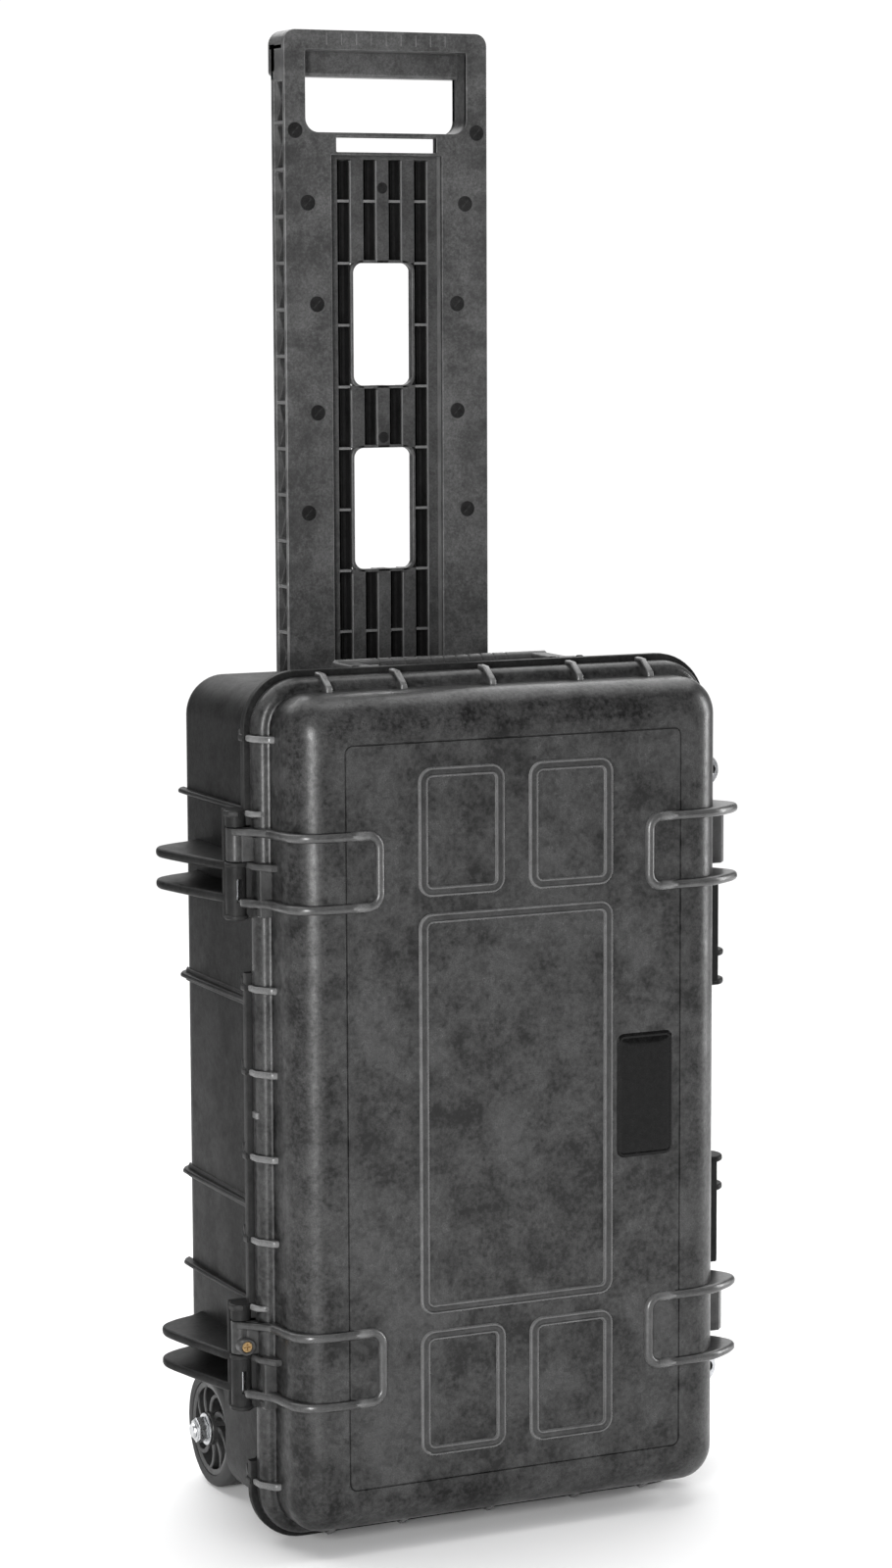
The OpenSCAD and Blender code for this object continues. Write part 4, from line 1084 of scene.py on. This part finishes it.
def blade(r0, r1, sweep, thick, steps=7):
    """Outline of one curved spoke."""
    edge = []
    for i in range(steps + 1):
        t = i / steps
        r = r0 + (r1 - r0) * t
        a = radians(sweep * t * t)
        edge.append((r * cos(a), r * sin(a), a))
    one = [(x - thick * sin(a), z + thick * cos(a)) for x, z, a in edge]
    two = [(x + thick * sin(a), z - thick * cos(a)) for x, z, a in edge]
    return two + one[::-1]


def build_wheels():
    """Tyre and spoked hub of each wheel, with its axle."""
    for name, side in (("left", -1), ("right", 1)):
        inner = side * (WHEEL_OUT - WHEEL_W)
        place = along_x(inner, WHEEL_Y, WHEEL_Z, side)
        w, r = WHEEL_W, WHEEL_R
        tyre = Part()
        half_tread = [(31, 0.6), (33, 0), (r - 3.6, 0), (r - 1.4, 0.8), (r - 0.3, 2.4), (r, 4.2), (r, 8.6),
                      (r - 0.7, 9), (r - 0.7, 9.8), (r, 10.2)]
        tyre.ring(half_tread + [(u, w - v) for u, v in half_tread[::-1]], place, 96)
        tyre.done("tyre_%s_tread" % name, "wheel_" + name, "tyre_rubber", TYRE, "wheel_tyre_" + name)
        hub = Part()
        hub.ring([(27, 1.8), (30, 1), (31, 1.4), (31, w - 1.4), (30, w - 1), (27, w - 1.8)], place, 80)
        hub.ring([(8, -2.8), (10.4, -2.8), (11, -2.2), (11, w), (10.4, w + 0.8), (8, w + 0.8)], place, 48)
        web = [(14, w - 8), (15.2, w - 7.2), (26, w - 7.6), (27.5, w - 8.4), (27.5, 9), (10, 9), (10, w - 8.4)]
        hub.ring(web, place, 64)
        for i in range(SPOKES):
            turn = place @ Matrix.Rotation(radians(360 / SPOKES * i), 4, "Z")
            hub.plate([blade(10, 29, side * 30, 2.1)], w - 4, "z", w / 2 + 0.6, 0.7, 2, turn)
        hub.done("hub_%s_spokes" % name, "wheel_" + name, "trim_black", HUB, "wheel_hub_" + name)
        build_axle(name, side)


def build_axle(name, side):
    """Plated bolt end, washer and nut on the outside of a wheel."""
    base_x = side * (WHEEL_OUT + 1.1)
    place = along_x(base_x, WHEEL_Y, WHEEL_Z, side)
    washer = Part().ring(collar(BOLT_R, 10.5, 0, WASHER_T, 0.3), place, 48)
    washer.done("washer_" + name, "base", "zinc", ZINC, "axle_washer_" + name)
    nut = Part()
    nut.plate([disc(0, 0, 8.5, 6), disc(0, 0, BOLT_R, 32)], NUT_T, "z", WASHER_T + NUT_T / 2, 0.7, 2, place)
    nut.ring([(BOLT_R, 7.8), (6.8, 7.8), (7, 8.4), (6.2, 8.9), (BOLT_R, 8.9)], place, 40)
    nut.done("nut_" + name, "base", "zinc", ZINC, "axle_nut_" + name)
    (x0, _, _), (x1, _, _) = case_box("axle_bolt_" + name)
    length = x1 - x0
    head = side * min(abs(x0), abs(x1))
    thread = length - THREAD_LEN
    profile = [(9, 0), (9, 6), (BOLT_R, 6), (BOLT_R, thread)]
    for i in range(int((length - thread - THREAD_PITCH) / THREAD_PITCH)):
        z = thread + THREAD_PITCH * i
        profile += [(4.95, z + 0.3), (4.4, z + 0.6), (4.95, z + 0.9)]
    profile += [(4.6, length - 0.6), (4.0, length)]
    bolt = Part().lathe(profile, along_x(head, WHEEL_Y, WHEEL_Z, side), 32)
    bolt.done("bolt_" + name, "base", "zinc", ZINC, "axle_bolt_" + name)


# ---- CAD nodes that stay ----

def dress_cad_nodes():
    """Gives the CAD nodes that still show their detailed materials."""
    by_slot = {"steel": STEEL, "zinc": ZINC, "brass": BRASS, "seal_rubber": SEAL, "tyre_rubber": TYRE,
               "trim_black": TRIM, "shell_black": SHELL, "label_gloss": LABEL}
    slots = {row["node"]: row["material_slot"] for row in frame["record"]["subparts"]}
    for node, piece in frame["nodes"].items():
        for holder in piece.material_slots:
            holder.material = by_slot[slots[node]]


# ---- camera, light and floor ----

def build_camera():
    """The photograph's viewpoint and angle of view."""
    data = bpy.data.cameras.new("camera")
    data.lens = 88.15
    data.clip_end = 60
    camera = in_scene("camera", data)
    yaw, pitch, roll = (radians(a) for a in (24.922, 7.158, 0.227))
    turn = Matrix.Rotation(-yaw, 4, "Z") @ Matrix.Rotation(pi / 2 - pitch, 4, "X") @ Matrix.Rotation(-roll, 4, "Z")
    eye = spot(-1031.1, -2115.6, 498.7)
    camera.matrix_world = Matrix.Translation(eye) @ turn
    bpy.context.scene.camera = camera


def area_light(name, place, aim, size, power):
    data = bpy.data.lights.new(name, "AREA")
    data.shape = "RECTANGLE"
    data.size, data.size_y = size
    data.energy = power
    light = in_scene(name, data)
    light.location = place
    light.rotation_euler = (Vector(aim) - Vector(place)).to_track_quat("-Z", "Y").to_euler()


def backdrop_light():
    """Pale backdrop behind the case, with a dimmer room round it."""
    world = bpy.data.worlds.new("studio")
    bpy.context.scene.world = world
    world.use_nodes = True
    tree = world.node_tree
    coords = tree.nodes.new("ShaderNodeTexCoord")
    dot = tree.nodes.new("ShaderNodeVectorMath")
    dot.operation = "DOT_PRODUCT"
    dot.inputs[1].default_value = Vector((0.42, 0.90, 0)).normalized()
    ramp = tree.nodes.new("ShaderNodeValToRGB")
    room, backdrop = ramp.color_ramp.elements
    room.position, room.color = 0.87, (0.22, 0.22, 0.223, 1)
    backdrop.position, backdrop.color = 0.93, (1, 1, 1, 1)
    tree.links.new(coords.outputs["Generated"], dot.inputs[0])
    tree.links.new(dot.outputs["Value"], ramp.inputs["Fac"])
    tree.links.new(ramp.outputs["Color"], tree.nodes["Background"].inputs["Color"])
    tree.nodes["Background"].inputs["Strength"].default_value = 1.05


def build_studio():
    """Long soft lights, an even overhead and a plain pale floor."""
    backdrop_light()
    middle = (0, 0, 0.35)
    area_light("edge_strip", (-1.80, -2.48, 0.55), middle, (0.45, 2.2), 150)
    area_light("right_strip", (1.9, -0.3, 0.6), middle, (0.3, 1.6), 30)
    data = bpy.data.lights.new("overhead", "SUN")
    data.energy = 3.3
    data.angle = radians(80)
    overhead = in_scene("overhead", data)
    overhead.rotation_euler = (radians(-30), radians(5), 0)
    floor_mesh = bpy.data.meshes.new("floor")
    reach, floor_z = 2.3, cad_box[0][2] - 0.0005
    corners = ((-reach, -reach), (reach, -reach), (reach, reach), (-reach, reach))
    floor_mesh.from_pydata([(x, y, floor_z) for x, y in corners], [], [(0, 1, 2, 3)])
    floor = in_scene("floor", floor_mesh)
    n = Nodes("pale_floor")
    n.shader.inputs["Base Color"].default_value = (0.93, 0.93, 0.93, 1)
    n.shader.inputs["Roughness"].default_value = 0.9
    floor_mesh.materials.append(n.material)
    bpy.context.scene.view_settings.view_transform = "Standard"


build_camera()
build_studio()
dress_cad_nodes()
build_lid()
build_label()
build_base()
build_latches()
build_carry_handles()
build_trolley()
build_cover()
build_wheels()
